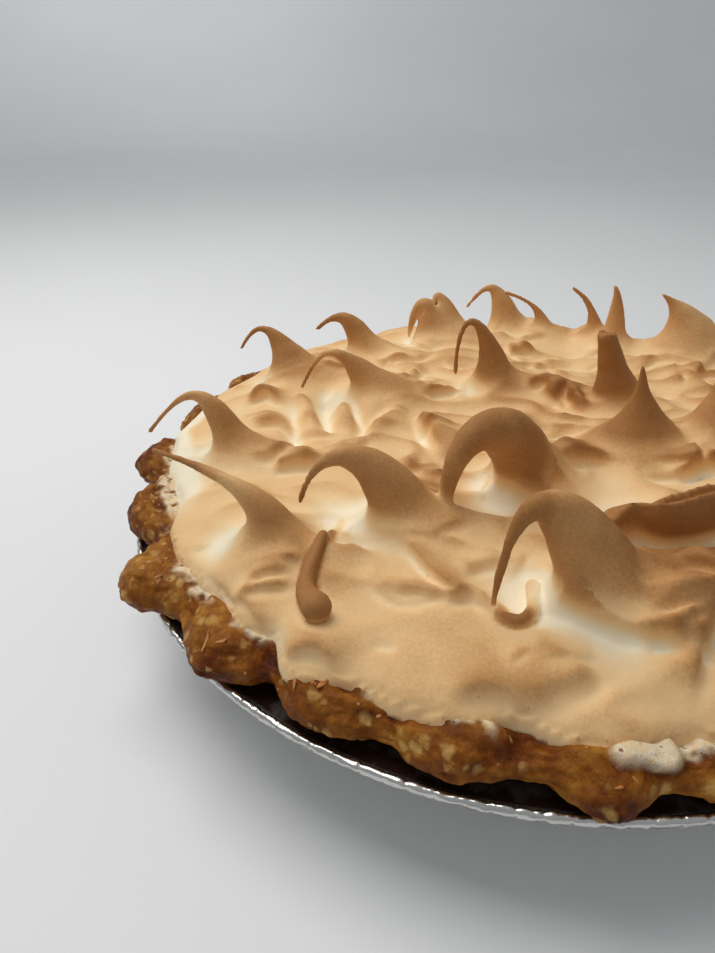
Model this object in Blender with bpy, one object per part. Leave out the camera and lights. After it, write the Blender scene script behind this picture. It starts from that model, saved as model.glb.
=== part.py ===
"""Lemon meringue pie in its foil tin: pressed tin, fluted crust with its filling, and toasted meringue.

Metres, +Z up. The origin is the centre of the tin's flat base, which rests on z = 0.
The front is -Y. A bearing is in degrees from the front, turning towards -X.
"""
import math
import random
from collections import namedtuple

import bmesh
import bpy
import numpy as np

MM = 0.001
GAP = 0.3 * MM

# Foil tin
TIN_RIM_RADIUS = 120 * MM
TIN_RIM_HEIGHT = 29.6 * MM
TIN_BASE_RADIUS = 91 * MM
TIN_WALL_TOP_RADIUS = 107 * MM
TIN_WALL_TOP_HEIGHT = 27.6 * MM
TIN_BASE_ROUNDING = 1.6 * MM
FOIL_THICKNESS = 0.5 * MM
FLANGE_INNER_RADIUS = 109.4 * MM
FLANGE_INNER_HEIGHT = 28.4 * MM
BEAD_RADIUS = 1.2 * MM
BEAD_SIDES = 5
BEAD_ARC = 280
FLUTES = 36
FLUTE_DEPTH = 0.6 * MM

# Crust: heights of its rolled lip, then how far in from the tip each turn of its section lies
LIP_UNDERSIDE_HEIGHT = 31.1 * MM
LIP_TIP_HEIGHT = 35.6 * MM
LIP_CREST_HEIGHT = 40.6 * MM
LOBE_CREST_RISE = 1.4 * MM
LIP_INNER_RADIUS = 101 * MM
FILLING_HEIGHT = 38 * MM
FLANGE_STEP = 1.6 * MM
TUCK_INSET = 3.4 * MM
BELLY_INSET = 0.6 * MM
BELLY_RISE = 1.7 * MM
SHOULDER_INSET = 2.6 * MM
SHOULDER_RISE = 3.6 * MM
LOBE_SHOULDER_RISE = 0.5 * MM
CREST_INSET = 7.5 * MM
INNER_SLOPE = 2.5 * MM
INNER_DROP = 0.4 * MM
STEPS_PER_LOBE = 8
UNSEEN_LOBES = 17

# Meringue, in mm
EDGE_RADIUS = 110.5
EDGE_HEIGHT = 42.2
DOME_RISE = 10.6
DOME_FLATNESS = 5
DOME_RINGS = 60
DOME_SPOKES = 240
PEAK_RINGS = 18
TUBE_SIDES = 14
STRAND_STEPS = 4
STRAND_TAPER = 2.4
STRAND_LIFT = 0.8
STRAND_SUNK_SHARE = 0.3
THINNEST = 1.1
PEAK_ROOT_DEPTH = 6
PEAK_FLARE = 3.5
VOXEL = 1.1 * MM
MERINGUE_TRIANGLES = 7650

# The body that cuts the meringue's underside to fit the crust
CREST_RAMP = 9 * MM
CUTTER_MARGIN = 15 * MM
CUTTER_DEPTH = 10 * MM
CUTTER_SIDES = 96

# A lobe of the crust: the bearing and radius of its tip, the radius of the dip after it, and how
# narrow it is (small numbers make a fat knuckle, large ones a slim bulge).
Lobe = namedtuple("Lobe", "bearing tip dip slimness")
SEEN_LOBES = [
    Lobe(77, 124.5, 114.5, 0.8),
    Lobe(63, 122.5, 117.0, 0.7),
    Lobe(47, 128.0, 119.0, 1.2),
    Lobe(30.5, 123.5, 115.8, 1.0),
    Lobe(17.5, 119.3, 116.0, 1.0),
    Lobe(2.5, 119.4, 117.0, 1.3),
    Lobe(-11.5, 123.0, 117.8, 2.0),
]

# The tables from here on are in mm, and so is all that the meringue is worked out with.
# A pulled peak. x, y: its foot. lean: the way it is pulled, in degrees from +X towards +Y.
# reach, height: how far its tip goes and how high its bend stands. tip: the tip's height.
# width: half the body's width at the foot. end: half the tip's width. back, front: where the two
# shoulders of its bend stand, as shares of the reach. taper: how soon the body gets thin.
Peak = namedtuple("Peak", "x y lean reach height tip width end back front taper", defaults=(0.25, 0.95, 2.4))
SEEN_PEAKS = [
    Peak(-81, 23, 189, 21, 15.2, 7.9, 12.4, 0.7, 0.47, 0.7, 4.6),
    Peak(-80.2, -34, 185, 28.3, 15.2, 2.3, 7, 0.7, 0.34, 0.5, 2.9),
    Peak(-55.8, -73, 175, 31, 17.5, 17.5, 9.5, 0.7, 0.27, 0.74, 2.0),
    Peak(-24, -58, 197, 28.1, 16.1, 4, 9, 0.7, 0.41, 0.84, 2.0),
    Peak(3.6, -30, 231, 31.2, 18, -9.2, 9.2, 1.3, 0.39, 1.19, 1.3),
    Peak(23.6, -72.8, 206, 28.0, 22.2, -1.9, 10.5, 0.8, 0.70, 0.92, 2.1),
    Peak(-10.4, 28, 193, 15.2, 21.3, 3.1, 9, 0.7, 0.48, 1.08, 5),
    Peak(-46.5, 12, 196, 28.5, 13.3, 1.2, 10.4, 0.7, 0.64, 0.73, 4.7),
    Peak(-62.9, 53, 194, 19.8, 11.2, 6.9, 6.6, 0.7, 0.39, 0.64, 2),
    Peak(-42.3, 69, 195, 7.7, 12.9, -0.1, 5.0, 0.9, -0.27, 0.76, 1.2),
    Peak(-32, 74, 194, 9.8, 15.4, 9.9, 7.5, 0.9, 0.58, 0.99, 3.4),
    Peak(-11, 92, 196, 19, 16.6, 9.2, 8.2, 0.7, 0.39, 0.58, 2.8),
    Peak(2, 88, 190, 16.5, 16, 16.1, 8.5, 0.7, 0.83, 0.92, 3.8),
    Peak(22.4, 88, 194, 11.2, 17.9, 20, 5.8, 0.7, 0.25, 0.95, 2.7),
    Peak(28.9, 77, 200, 2.8, 23.3, 23.3, 5.6, 0.8, 0.25, 0.95, 1.3),
    Peak(27.5, 21, 200, 6.9, 8.5, 23.1, 10.6, 2.9, 0.25, 0.95, 1.4),
    Peak(32.7, -6, 194, 3.2, 11.3, 23.1, 18, 0.7, 0.25, 0.95, 1.45),
    Peak(55.2, 74, 198, 13.4, 22.4, 24.7, 22, 0.7, 0.25, 0.95, 1.5),
    Peak(57, 4, 200, 7, 22, 25.5, 16, 1.2, 0.25, 0.95, 1.7),
]
UNSEEN_PEAKS = 12
PEAK_TRIES = 4000
PEAK_SPACING = 24
PEAK_FIELD_RADIUS = 93
VIEW_FOOT_Y = -205
VIEW_SLOPE = 0.21
PEAK_MARGIN = 15
SCATTERED_FOLDS = 110
SCATTER_RADIUS = 102

# How a peak shapes the surface around it, as shares of its height.
MOUND_SHARE = 0.12
HOLLOW_SHARE = 0.16
TAIL_SHARE = 0.22
TAIL_LENGTH = 26
PEAK_DEPTH_SHARE = 0.75

# How far the spread lies below the plain dome, how much its relief is levelled at a peak's foot, and
# how much higher its folds are than their table says.
SINK = 2.6
FOOT_LEVELLING = 0.85
FOLD_GAIN = 1.35

# How a fold's section looks: its ends' fade, its easy side's sharpness, and the dip at its steep foot
# with the dip's width.
FOLD_FADE = 0.3
FOLD_SHARPNESS = 1.5
FOLD_UNDERCUT = 0.35
FOLD_FOOT = 3

# A fold of the surface: points along its crest, its height, and its half-widths on the steep side, which
# is on the right of the way the points run, and on the easy side. A valley has a height below 0.
Fold = namedtuple("Fold", "points height steep easy")
FOLDS = [
    # Between the peaks on the left
    Fold([(-69, -42), (-63, -38.5), (-55, -37)], 2.6, 1.6, 5),
    Fold([(-62, -18), (-70, -3), (-76, 6)], 2.2, 3.5, 3.5),
    Fold([(-51, -14), (-61, 4)], 2.0, 3.5, 3.5),
    Fold([(-56, -22), (-64, -3), (-71, 16)], -4.0, 3.5, 3.5),
    Fold([(-62, -34), (-69, -20), (-77, 0)], -3.8, 3.2, 3.2),
    Fold([(-46, -22), (-52, -8), (-57, 4)], -2.4, 2.4, 2.4),
    Fold([(-92, -4), (-87, 4), (-78, -4)], 3.6, 1.6, 3.5),
    Fold([(-84, -20), (-77, -14), (-68, -17)], 2.2, 2.4, 4),
    Fold([(-34, -3), (-28, -8), (-20, -25)], 3.8, 4.5, 6),
    Fold([(-36, 0), (-42, -8), (-45, -26)], 2.4, 6, 5),
    # Along the front
    Fold([(-57, -88.5), (-53, -85.5), (-47, -84)], 2.0, 0.9, 3),
    Fold([(-58, -92), (-53, -89.5), (-45, -87)], 1.7, 0.9, 2.5),
    Fold([(-51, -81.5), (-45, -81)], 1.1, 0.8, 2),
    Fold([(-79, -77.5), (-76, -75), (-72, -73.5)], 0.9, 0.7, 2),
    Fold([(-79, -76), (-76.5, -80), (-70, -84)], 1.2, 0.8, 3),
    Fold([(-62, -89), (-54, -94), (-48, -99)], 1.4, 0.9, 3.5),
    Fold([(-44, -106), (-39, -103.5), (-34, -103.5), (-30, -107)], 3.0, 1.3, 5),
    Fold([(-26, -99), (-19, -99)], -1.3, 1.0, 1.6),
    Fold([(-26, -68), (-21.7, -71.4), (-16.4, -77.5), (-12.3, -81), (-7, -83)], 2.4, 1.0, 6),
    Fold([(-30, -83), (-22, -84), (-17.5, -83.8), (-14, -84), (-7, -84)], 2.0, 1.0, 6),
    Fold([(-13, -86.5), (-7, -81.5), (-1, -86)], 2.0, 1.7, 3),
    Fold([(-10, -75.5), (-6, -71), (0, -68)], 1.3, 0.9, 3),
    Fold([(3, -99), (7, -95)], 1.0, 0.8, 1.5),
    Fold([(4, -105.5), (11, -102), (16, -99), (18.5, -94)], 2.4, 4.5, 6),
    Fold([(-9, -109), (-2, -105), (4, -104), (10, -107)], 2.2, 3.0, 5),
    Fold([(29, -82.5), (36, -79), (45, -77), (58, -79)], 3.4, 2.0, 7),
    Fold([(27, -89), (33, -85), (40, -89)], 2.2, 3, 3),
    Fold([(15, -70.5), (21, -73), (28, -74)], 1.2, 1.3, 3),
    Fold([(35.5, -71.5), (39.5, -71.5)], -1.6, 0.8, 1.2),
    # In the middle and at the back
    Fold([(12, -60), (23, -56), (29, -52), (36, -52), (48, -46), (68, -36), (92, -22)], 9.5, 3.0, 8),
    Fold([(32, -50.5), (35, -48.5), (41, -46), (46, -44), (56, -38)], 2.8, 0.9, 3),
    Fold([(8, -34), (16, -38), (26, -40), (38, -36)], -2.6, 7, 7),
    Fold([(5, -8), (11, -3.5), (16, -2), (23, -1)], 2.2, 1.1, 5),
    Fold([(8, -26), (17, -20), (27, -17)], 3.4, 2.6, 6),
    Fold([(39, -20.5), (45.5, -19), (48, -13), (44, -8), (37, -7)], 3.2, 1.7, 4),
    Fold([(4, 16), (12, 25), (15, 20), (19, 8)], 4.4, 3.5, 6),
    Fold([(-1, 23), (3.5, 26), (8, 25)], 2.2, 1.7, 3),
    Fold([(-9, 38), (-6, 42), (-2, 42)], 1.4, 1.0, 3),
    Fold([(-1, 44), (4, 49), (9, 47)], 1.6, 1.1, 3),
    Fold([(-11, 59), (-5, 63), (1, 66)], 1.9, 1.8, 4),
    Fold([(35, 52), (43, 62), (52, 61), (62, 58)], 3.0, 1.8, 6),
    Fold([(49, 46), (54, 46)], -1.4, 1.2, 1.6),
    Fold([(-44, 15), (-41, 26), (-40, 36)], 1.9, 1.8, 3),
    Fold([(-36, 11), (-29, 18), (-23, 22)], 2.6, 2.2, 4),
]

# Round knobs (and, below 0, hollows) of the surface.
Lump = namedtuple("Lump", "x y spread height")
LUMPS = [
    Lump(-72, 34, 6.0, 6.0), Lump(24, -38, 11, -3.2), Lump(-44, -58, 9, -2.6), Lump(-69, -74, 7, -2.6),
    Lump(3, -78, 8, -2.8), Lump(23, -93, 8, -1.8), Lump(-30, 50, 8, 1.8),
]

# Strands that broke off and lie on the surface: their points, then the half-width at each end.
Strand = namedtuple("Strand", "points start end")
STRANDS = [
    Strand([(-42.5, -57.7), (-43, -66), (-42.5, -78), (-43.4, -85), (-42.6, -90), (-38, -95)], 1.0, 3.4),
    Strand([(0.1, -82), (0.9, -86.4), (3.9, -87.6), (6.8, -84.5), (7.4, -79), (6.5, -74.6)], 1.5, 1.7),
    Strand([(-8.5, -41), (-7.6, -37), (-5.9, -33), (-3.1, -34), (-0.3, -38)], 0.9, 0.9),
]

# Waves of the meringue's edge: how many go round, where they start, and how far they stand out.
EDGE_WAVES = [(9, 1.0, 0.9), (14, 2.2, 0.7), (23, 0.0, 0.5), (41, 0.7, 0.35)]

# Bulges of the meringue's edge: bearing, spread in degrees and how far it stands out in mm.
EDGE_BULGES = [
    (30.5, 2.2, 1.8), (25.5, 2.0, -2.6), (21, 3.5, 2.6), (-3, 5, -4.0),
    (-13, 4, 3.0), (36, 3, -2.5), (60, 14, -2.5), (150, 12, 2.0),
]


def material(name, colour, roughness, metallic=0.0):
    """Return a Principled material of one colour."""
    mat = bpy.data.materials.new(name)
    mat.use_nodes = True
    shader = mat.node_tree.nodes["Principled BSDF"]
    shader.inputs["Base Color"].default_value = (*colour, 1.0)
    shader.inputs["Roughness"].default_value = roughness
    shader.inputs["Metallic"].default_value = metallic
    return mat


def add_object(name, bm, mat, sharp_angle=60):
    """Turn a bmesh into a smooth-shaded object in the scene."""
    bmesh.ops.recalc_face_normals(bm, faces=bm.faces)
    mesh = bpy.data.meshes.new(name)
    bm.to_mesh(mesh)
    bm.free()
    mesh.shade_smooth()
    mesh.set_sharp_from_angle(angle=math.radians(sharp_angle))
    mesh.materials.append(mat)
    obj = bpy.data.objects.new(name, mesh)
    bpy.context.collection.objects.link(obj)
    return obj


def on_bearing(radius, bearing):
    """Return x, y at radii and bearings in degrees."""
    turn = np.radians(bearing)
    return -radius * np.sin(turn), -radius * np.cos(turn)


def add_ring(bm, bearings, radii, heights):
    """Add one closed ring of vertices, one for each bearing."""
    ring = []
    for bearing, radius, height in zip(bearings, radii, heights):
        x, y = on_bearing(radius, bearing)
        ring.append(bm.verts.new((x, y, height)))
    return ring


def bridge(bm, lower, upper):
    """Join two rings of the same length with quads."""
    count = len(lower)
    for i in range(count):
        j = (i + 1) % count
        bm.faces.new((lower[i], lower[j], upper[j], upper[i]))


def cap(bm, ring, point):
    """Close a ring with a fan of triangles to a point."""
    centre = bm.verts.new(point)
    for i in range(len(ring)):
        bm.faces.new((ring[i], ring[(i + 1) % len(ring)], centre))


def solid_of_rings(rings, bearings, bottom, top):
    """Return a closed bmesh from rings of (radii, heights), capped at the bottom and top heights."""
    bm = bmesh.new()
    made = [add_ring(bm, bearings, radii, heights) for radii, heights in rings]
    for lower, upper in zip(made, made[1:]):
        bridge(bm, lower, upper)
    cap(bm, made[0], (0, 0, bottom))
    cap(bm, made[-1], (0, 0, top))
    return bm


def tin_profile():
    """Return the tin's half section as (radius, height, flute share), underside first, then the inside."""
    wall = FOIL_THICKNESS
    bead_centre = TIN_RIM_RADIUS - BEAD_RADIUS
    corner_radius = TIN_BASE_RADIUS + TIN_BASE_ROUNDING
    profile = [
        (TIN_BASE_RADIUS, 0.0, 0.0),
        (corner_radius, TIN_BASE_ROUNDING, 0.6),
        (TIN_WALL_TOP_RADIUS, TIN_WALL_TOP_HEIGHT, 1.0),
        (FLANGE_INNER_RADIUS, FLANGE_INNER_HEIGHT, 0.3),
    ]
    for side in range(BEAD_SIDES):
        turn = math.radians(BEAD_ARC * (side / (BEAD_SIDES - 1) - 0.5))
        radius = bead_centre + BEAD_RADIUS * math.cos(turn)
        profile.append((radius, TIN_RIM_HEIGHT + BEAD_RADIUS * math.sin(turn), 0.0))
    profile += [
        (FLANGE_INNER_RADIUS - wall, FLANGE_INNER_HEIGHT + wall, 0.3),
        (TIN_WALL_TOP_RADIUS - wall, TIN_WALL_TOP_HEIGHT + wall, 1.0),
        (corner_radius - wall, TIN_BASE_ROUNDING + wall, 0.6),
        (TIN_BASE_RADIUS - wall, wall, 0.0),
    ]
    return profile


def build_tin():
    """Pressed foil tin: flat base, fluted wall, flange and rolled bead."""
    count = 2 * FLUTES
    bearings = [360 * i / count for i in range(count)]
    rings = []
    for radius, height, share in tin_profile():
        radii = [radius + FLUTE_DEPTH * share * (-1) ** i for i in range(count)]
        rings.append((radii, [height] * count))
    bm = solid_of_rings(rings, bearings, 0.0, FOIL_THICKNESS)
    foil = material("foil", (0.62, 0.61, 0.59), 0.28, 1.0)
    return add_object("foil_tin", bm, foil, sharp_angle=35)


def crust_lobes():
    """Return every lobe of the rim in order: the seen ones, then the rest spaced by a seeded rule."""
    rng = random.Random(11)
    lobes = list(SEEN_LOBES)
    first = SEEN_LOBES[0].bearing - 360
    last = SEEN_LOBES[-1].bearing
    step = (last - first) / (UNSEEN_LOBES + 1)
    for i in range(1, UNSEEN_LOBES + 1):
        bearing = last - step * (i + rng.uniform(-0.12, 0.12))
        lobes.append(Lobe(bearing, rng.uniform(120, 125), rng.uniform(114.5, 118), rng.uniform(0.7, 1.5)))
    return lobes


def rim_stations():
    """Return (bearing, outer radius, lobe share) around the rim, with as many steps in each lobe."""
    lobes = crust_lobes()
    stations = []
    for i, lobe in enumerate(lobes):
        after = lobes[(i + 1) % len(lobes)]
        before = lobes[i - 1]
        gap_after = (lobe.bearing - after.bearing) % 360
        gap_before = (before.bearing - lobe.bearing) % 360
        half = STEPS_PER_LOBE // 2
        for k in range(-half, half):
            span, dip = (gap_before, before.dip) if k < 0 else (gap_after, lobe.dip)
            share = max(0.0, math.cos(0.5 * math.pi * k / half)) ** (2 * lobe.slimness)
            bearing = lobe.bearing - 0.5 * span * k / half
            radius = (dip + (lobe.tip - dip) * share) * MM
            stations.append((bearing, radius, share))
    return stations


def build_crust():
    """Baked crust with its filling: one solid that fills the tin and rolls out over the flange in lobes."""
    bearings, outer, share = np.array(rim_stations()).T
    level = np.ones(len(bearings))
    clearance = FOIL_THICKNESS + GAP + FLUTE_DEPTH
    floor = FOIL_THICKNESS + GAP
    wall_top = TIN_WALL_TOP_RADIUS - clearance
    rings = [
        ((TIN_BASE_RADIUS - clearance) * level, floor * level),
        (wall_top * level, TIN_WALL_TOP_HEIGHT * level),
        ((wall_top + FLANGE_STEP) * level, LIP_UNDERSIDE_HEIGHT * level),
        (outer - TUCK_INSET, LIP_UNDERSIDE_HEIGHT * level),
        (outer - BELLY_INSET, (LIP_UNDERSIDE_HEIGHT + BELLY_RISE) * level),
        (outer, LIP_TIP_HEIGHT * level),
        (outer - SHOULDER_INSET, LIP_TIP_HEIGHT + SHOULDER_RISE + LOBE_SHOULDER_RISE * share),
        (outer - CREST_INSET, LIP_CREST_HEIGHT + LOBE_CREST_RISE * share),
        ((LIP_INNER_RADIUS + INNER_SLOPE) * level, (LIP_CREST_HEIGHT - INNER_DROP) * level),
        (LIP_INNER_RADIUS * level, FILLING_HEIGHT * level),
    ]
    bm = solid_of_rings(rings, bearings, floor, FILLING_HEIGHT)
    pastry = material("pastry", (0.42, 0.19, 0.055), 0.55)
    return add_object("crust", bm, pastry)


def smooth_rows(rows, counts):
    """Return a Catmull-Rom sheet through key rows of points, with counts[i] steps from row i to the next."""
    keys = np.concatenate([[2 * rows[0] - rows[1]], rows, [2 * rows[-1] - rows[-2]]])
    made = []
    for i, count in enumerate(counts):
        p0, p1, p2, p3 = keys[i:i + 4]
        for t in np.arange(count) / count:
            made.append(0.5 * (2 * p1 + (p2 - p0) * t + (2 * p0 - 5 * p1 + 4 * p2 - p3) * t**2
                               + (3 * p1 - p0 - 3 * p2 + p3) * t**3))
    made.append(rows[-1])
    return np.array(made)


def smoothstep(low, high, value):
    """Return 0 below low, 1 above high and an even S-curve between them."""
    t = np.clip((value - low) / (high - low), 0, 1)
    return t * t * (3 - 2 * t)


def unseen_peaks():
    """Return peaks for the side past the right of the view, spread evenly by a seeded rule."""
    rng = random.Random(5)
    peaks = []
    for _ in range(PEAK_TRIES):
        if len(peaks) == UNSEEN_PEAKS:
            break
        radius = PEAK_FIELD_RADIUS * math.sqrt(rng.random())
        x, y = on_bearing(radius, rng.uniform(0, 360))
        reach = rng.uniform(7, 27)
        if x < VIEW_SLOPE * (y - VIEW_FOOT_Y) + PEAK_MARGIN + reach:
            continue
        if min(math.hypot(x - p.x, y - p.y) for p in SEEN_PEAKS + peaks) < PEAK_SPACING:
            continue
        height = rng.uniform(14, 21)
        tip = height if reach < 11 else height * rng.uniform(0.0, 0.8)
        lean, width = rng.uniform(180, 225), rng.uniform(8, 12)
        peaks.append(Peak(x, y, lean, reach, height, tip, width, 1.0, rng.uniform(0.2, 0.5)))
    return peaks


def scattered_folds():
    """Return folds spread by a seeded rule: small ones where the view is, larger ones on the unseen side."""
    rng = random.Random(8)
    folds = []
    for _ in range(SCATTERED_FOLDS):
        x, y = on_bearing(SCATTER_RADIUS * math.sqrt(rng.random()), rng.uniform(0, 360))
        seen = x < VIEW_SLOPE * (y - VIEW_FOOT_Y)
        size = rng.uniform(0.3, 0.55) if seen else rng.uniform(0.5, 1.3)
        turn = math.radians(rng.gauss(20, 35))
        half = size * rng.uniform(12, 22)
        ux, uy = math.cos(turn), math.sin(turn)
        bow = rng.uniform(-0.4, 0.4) * half
        start, end = (x - half * ux, y - half * uy), (x + half * ux, y + half * uy)
        folds.append(Fold([start, (x - bow * uy, y + bow * ux), end], 2.6 * size, 0.8 + size, 3 + 5 * size))
    return folds


PEAKS = SEEN_PEAKS + unseen_peaks()
ALL_FOLDS = FOLDS + scattered_folds()


def edge_radius(bearing):
    """Return the radius of the meringue's wavy edge at bearings in degrees."""
    turn = np.radians(bearing)
    radius = EDGE_RADIUS
    for count, phase, amount in EDGE_WAVES:
        radius = radius + amount * np.sin(count * turn + phase)
    for centre, spread, amount in EDGE_BULGES:
        away = (bearing - centre + 180) % 360 - 180
        radius = radius + amount * np.exp(-((away / spread) ** 2))
    return radius


def bump(x, y, cx, cy, spread):
    """Return a round bump of height 1 centred on cx, cy."""
    return np.exp(-((x - cx) ** 2 + (y - cy) ** 2) / spread**2)


def curve_through(points, steps):
    """Return a smooth curve through points, with a number of steps from each to the next."""
    points = np.array(points, float)
    return smooth_rows(points[:, None], [steps] * (len(points) - 1))[:, 0]


def fold_height(x, y, fold):
    """Return a fold's height at x, y: a curved crest that falls off on each side and fades at its ends."""
    crest = curve_through(fold.points, 4)
    margin = 4 * max(fold.steep, fold.easy / 2)
    low, high = crest.min(0) - margin, crest.max(0) + margin
    height = np.zeros(x.shape)
    near = (x > low[0]) & (x < high[0]) & (y > low[1]) & (y < high[1])
    if not near.any():
        return height
    x, y = x[near], y[near]
    nearest = np.full(x.shape, np.inf)
    off, along = np.zeros(x.shape), np.zeros(x.shape)
    for i in range(len(crest) - 1):
        sx, sy = crest[i + 1] - crest[i]
        ox, oy = x - crest[i, 0], y - crest[i, 1]
        share = np.clip((ox * sx + oy * sy) / (sx * sx + sy * sy), 0, 1)
        ox, oy = ox - share * sx, oy - share * sy
        distance = np.hypot(ox, oy)
        closer = distance < nearest
        nearest = np.where(closer, distance, nearest)
        off = np.where(closer, np.sign(sx * oy - sy * ox) * distance, off)
        along = np.where(closer, (i + share) / (len(crest) - 1), along)
    ends = smoothstep(0, FOLD_FADE, along) * smoothstep(0, FOLD_FADE, 1 - along)
    easy = np.exp(-np.abs(off / fold.easy) ** FOLD_SHARPNESS)
    if fold.height > 0:
        foot = 1 - smoothstep(fold.steep, fold.steep + FOLD_FOOT, -off)
        steep = (1 + FOLD_UNDERCUT) * (1 - smoothstep(0, fold.steep, -off)) - FOLD_UNDERCUT * foot
    else:
        steep = np.exp(-((off / fold.steep) ** 2))
    height[near] = fold.height * ends * np.where(off > 0, easy, steep)
    return height


def swell(x, y):
    """Return the unevenness left by the spoon: broad and small waves that bend each other."""
    bend = 5 * np.sin(x / 23 + 0.6) + 4 * np.sin(y / 19 + 1.9)
    broad = np.sin((x + bend) / 13 + 0.4) * np.sin((y - bend) / 15 + 1.1)
    small = np.sin((x - 0.7 * y + bend) / 6.1) * np.sin((y + 0.4 * x) / 7.3 + 2.0)
    return 1.5 * broad + 0.5 * small


def dome_height(x, y):
    """Return the height of the plain dome, and its fullness, which falls to 0 at the meringue's edge."""
    bearing = np.degrees(np.arctan2(-x, -y))
    share = np.clip(np.hypot(x, y) / edge_radius(bearing), 0, 1)
    fullness = np.sqrt(1 - share**DOME_FLATNESS)
    return EDGE_HEIGHT + DOME_RISE * fullness, fullness


def peak_relief(x, y, peak):
    """Return how a peak shapes the surface: a mound at its foot, a hollow ahead and a tail behind."""
    lean = math.radians(peak.lean)
    ux, uy = math.cos(lean), math.sin(lean)
    ahead = 0.6 * max(peak.reach, 10)
    mound = bump(x, y, peak.x, peak.y, peak.width + 4)
    hollow = bump(x, y, peak.x + ahead * ux, peak.y + ahead * uy, 0.7 * ahead)
    tail = [(peak.x + s * ux, peak.y + s * uy) for s in (-TAIL_LENGTH, -0.45 * TAIL_LENGTH, 4)]
    relief = MOUND_SHARE * mound - HOLLOW_SHARE * hollow + fold_height(x, y, Fold(tail, TAIL_SHARE, 4, 6))
    return peak.height * relief


def surface_height(x, y):
    """Return the height of the spread meringue, without the pulled peaks themselves."""
    dome, fullness = dome_height(x, y)
    relief = swell(x, y) - SINK
    for peak in PEAKS:
        relief = relief + peak_relief(x, y, peak)
    for fold in ALL_FOLDS:
        relief = relief + FOLD_GAIN * fold_height(x, y, fold)
    for lump in LUMPS:
        relief = relief + lump.height * bump(x, y, lump.x, lump.y, lump.spread)
    for peak in PEAKS:
        relief = relief * (1 - FOOT_LEVELLING * bump(x, y, peak.x, peak.y, 0.9 * peak.width))
    return dome + relief * np.sqrt(fullness)


def peak_path(peak):
    """Return a peak's centres and its half-widths, in the plane it bends in and sideways."""
    lean = math.radians(peak.lean)
    ahead = np.array([math.cos(lean), math.sin(lean), 0.0])
    ground = float(dome_height(peak.x, peak.y)[0])
    reach, height, tip = peak.reach, peak.height, peak.tip
    if tip >= height:
        corners = [(0, 0), (0, 0.4 * height), (0.2 * reach, 0.8 * height), (reach, tip)]
    else:
        handle = (height - tip / 8) / 0.75
        corners = [(0, 0), (peak.back * reach, handle), (peak.front * reach, handle), (reach, tip)]
    t = np.linspace(0, 1, PEAK_RINGS)
    weights = np.stack([(1 - t) ** 3, 3 * t * (1 - t) ** 2, 3 * t * t * (1 - t), t**3], 1)
    along, rise = (weights @ np.array(corners, float)).T
    centres = np.array([peak.x, peak.y, ground]) + along[:, None] * ahead
    centres[:, 2] += rise - PEAK_ROOT_DEPTH * (1 - t) ** 6
    narrowing = (1 - t) ** peak.taper
    slim = peak.end * (1.5 - 0.5 * t)
    widths = slim + (peak.width - peak.end) * narrowing
    depths = slim + (PEAK_DEPTH_SHARE * peak.width - peak.end) * narrowing
    return centres, widths, depths


def add_spread(bm):
    """Add the spread meringue as a closed body: rings of the dome over a flat underside."""
    bearings = np.arange(DOME_SPOKES) * 360 / DOME_SPOKES
    edge = edge_radius(bearings)
    rings = []
    for k in range(DOME_RINGS, 0, -1):
        radii = math.sin(0.5 * math.pi * k / DOME_RINGS) * edge
        heights = surface_height(*on_bearing(radii, bearings))
        rings.append(add_ring(bm, bearings, radii * MM, heights * MM))
    under = add_ring(bm, bearings, edge * MM, [FILLING_HEIGHT] * DOME_SPOKES)
    cap(bm, under, (0, 0, FILLING_HEIGHT))
    bridge(bm, under, rings[0])
    for lower, upper in zip(rings, rings[1:]):
        bridge(bm, lower, upper)
    zero = np.zeros(1)
    cap(bm, rings[-1], (0, 0, float(surface_height(zero, zero)[0]) * MM))


def add_tube(bm, centres, sides, widths, depths):
    """Add a closed tube of elliptical rings through centres in mm: wide across its sides, deep along them."""
    steps = np.gradient(centres, axis=0)
    steps /= np.linalg.norm(steps, axis=1)[:, None]
    ups = np.cross(steps, sides)
    rings = []
    for centre, side, up, width, depth in zip(centres, sides, ups, widths, depths):
        ring = []
        for k in range(TUBE_SIDES):
            turn = 2 * math.pi * k / TUBE_SIDES
            offset = width * math.cos(turn) * up + depth * math.sin(turn) * side
            ring.append(bm.verts.new(MM * (centre + offset)))
        rings.append(ring)
    for lower, upper in zip(rings, rings[1:]):
        bridge(bm, lower, upper)
    cap(bm, rings[0], MM * centres[0])
    cap(bm, rings[-1], MM * (centres[-1] + 0.6 * widths[-1] * steps[-1]))


def add_peak(bm, peak):
    """Add one pulled peak: a body that narrows as it rises, bends over and droops to its tip."""
    centres, widths, depths = peak_path(peak)
    lean = math.radians(peak.lean)
    side = np.array([-math.sin(lean), math.cos(lean), 0.0])
    flare = PEAK_FLARE * (1 - np.linspace(0, 1, PEAK_RINGS)) ** 8
    slim = np.maximum(widths, THINNEST)
    add_tube(bm, centres, np.tile(side, (PEAK_RINGS, 1)), slim + flare, np.maximum(depths, THINNEST) + flare)


def add_strand(bm, strand):
    """Add a broken strand: its start is sunk in the surface and the rest lies on it."""
    xs, ys = curve_through(strand.points, STRAND_STEPS).T
    share = np.linspace(0, 1, len(xs))
    widths = strand.start + (strand.end - strand.start) * share**STRAND_TAPER
    lift = STRAND_LIFT * (2 * smoothstep(0, STRAND_SUNK_SHARE, share) - 1)
    centres = np.stack([xs, ys, surface_height(xs, ys) + lift * widths], 1)
    steps = np.gradient(centres, axis=0)
    sides = np.stack([-steps[:, 1], steps[:, 0], np.zeros(len(xs))], 1)
    sides /= np.linalg.norm(sides, axis=1)[:, None]
    add_tube(bm, centres, sides, widths, widths)


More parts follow.
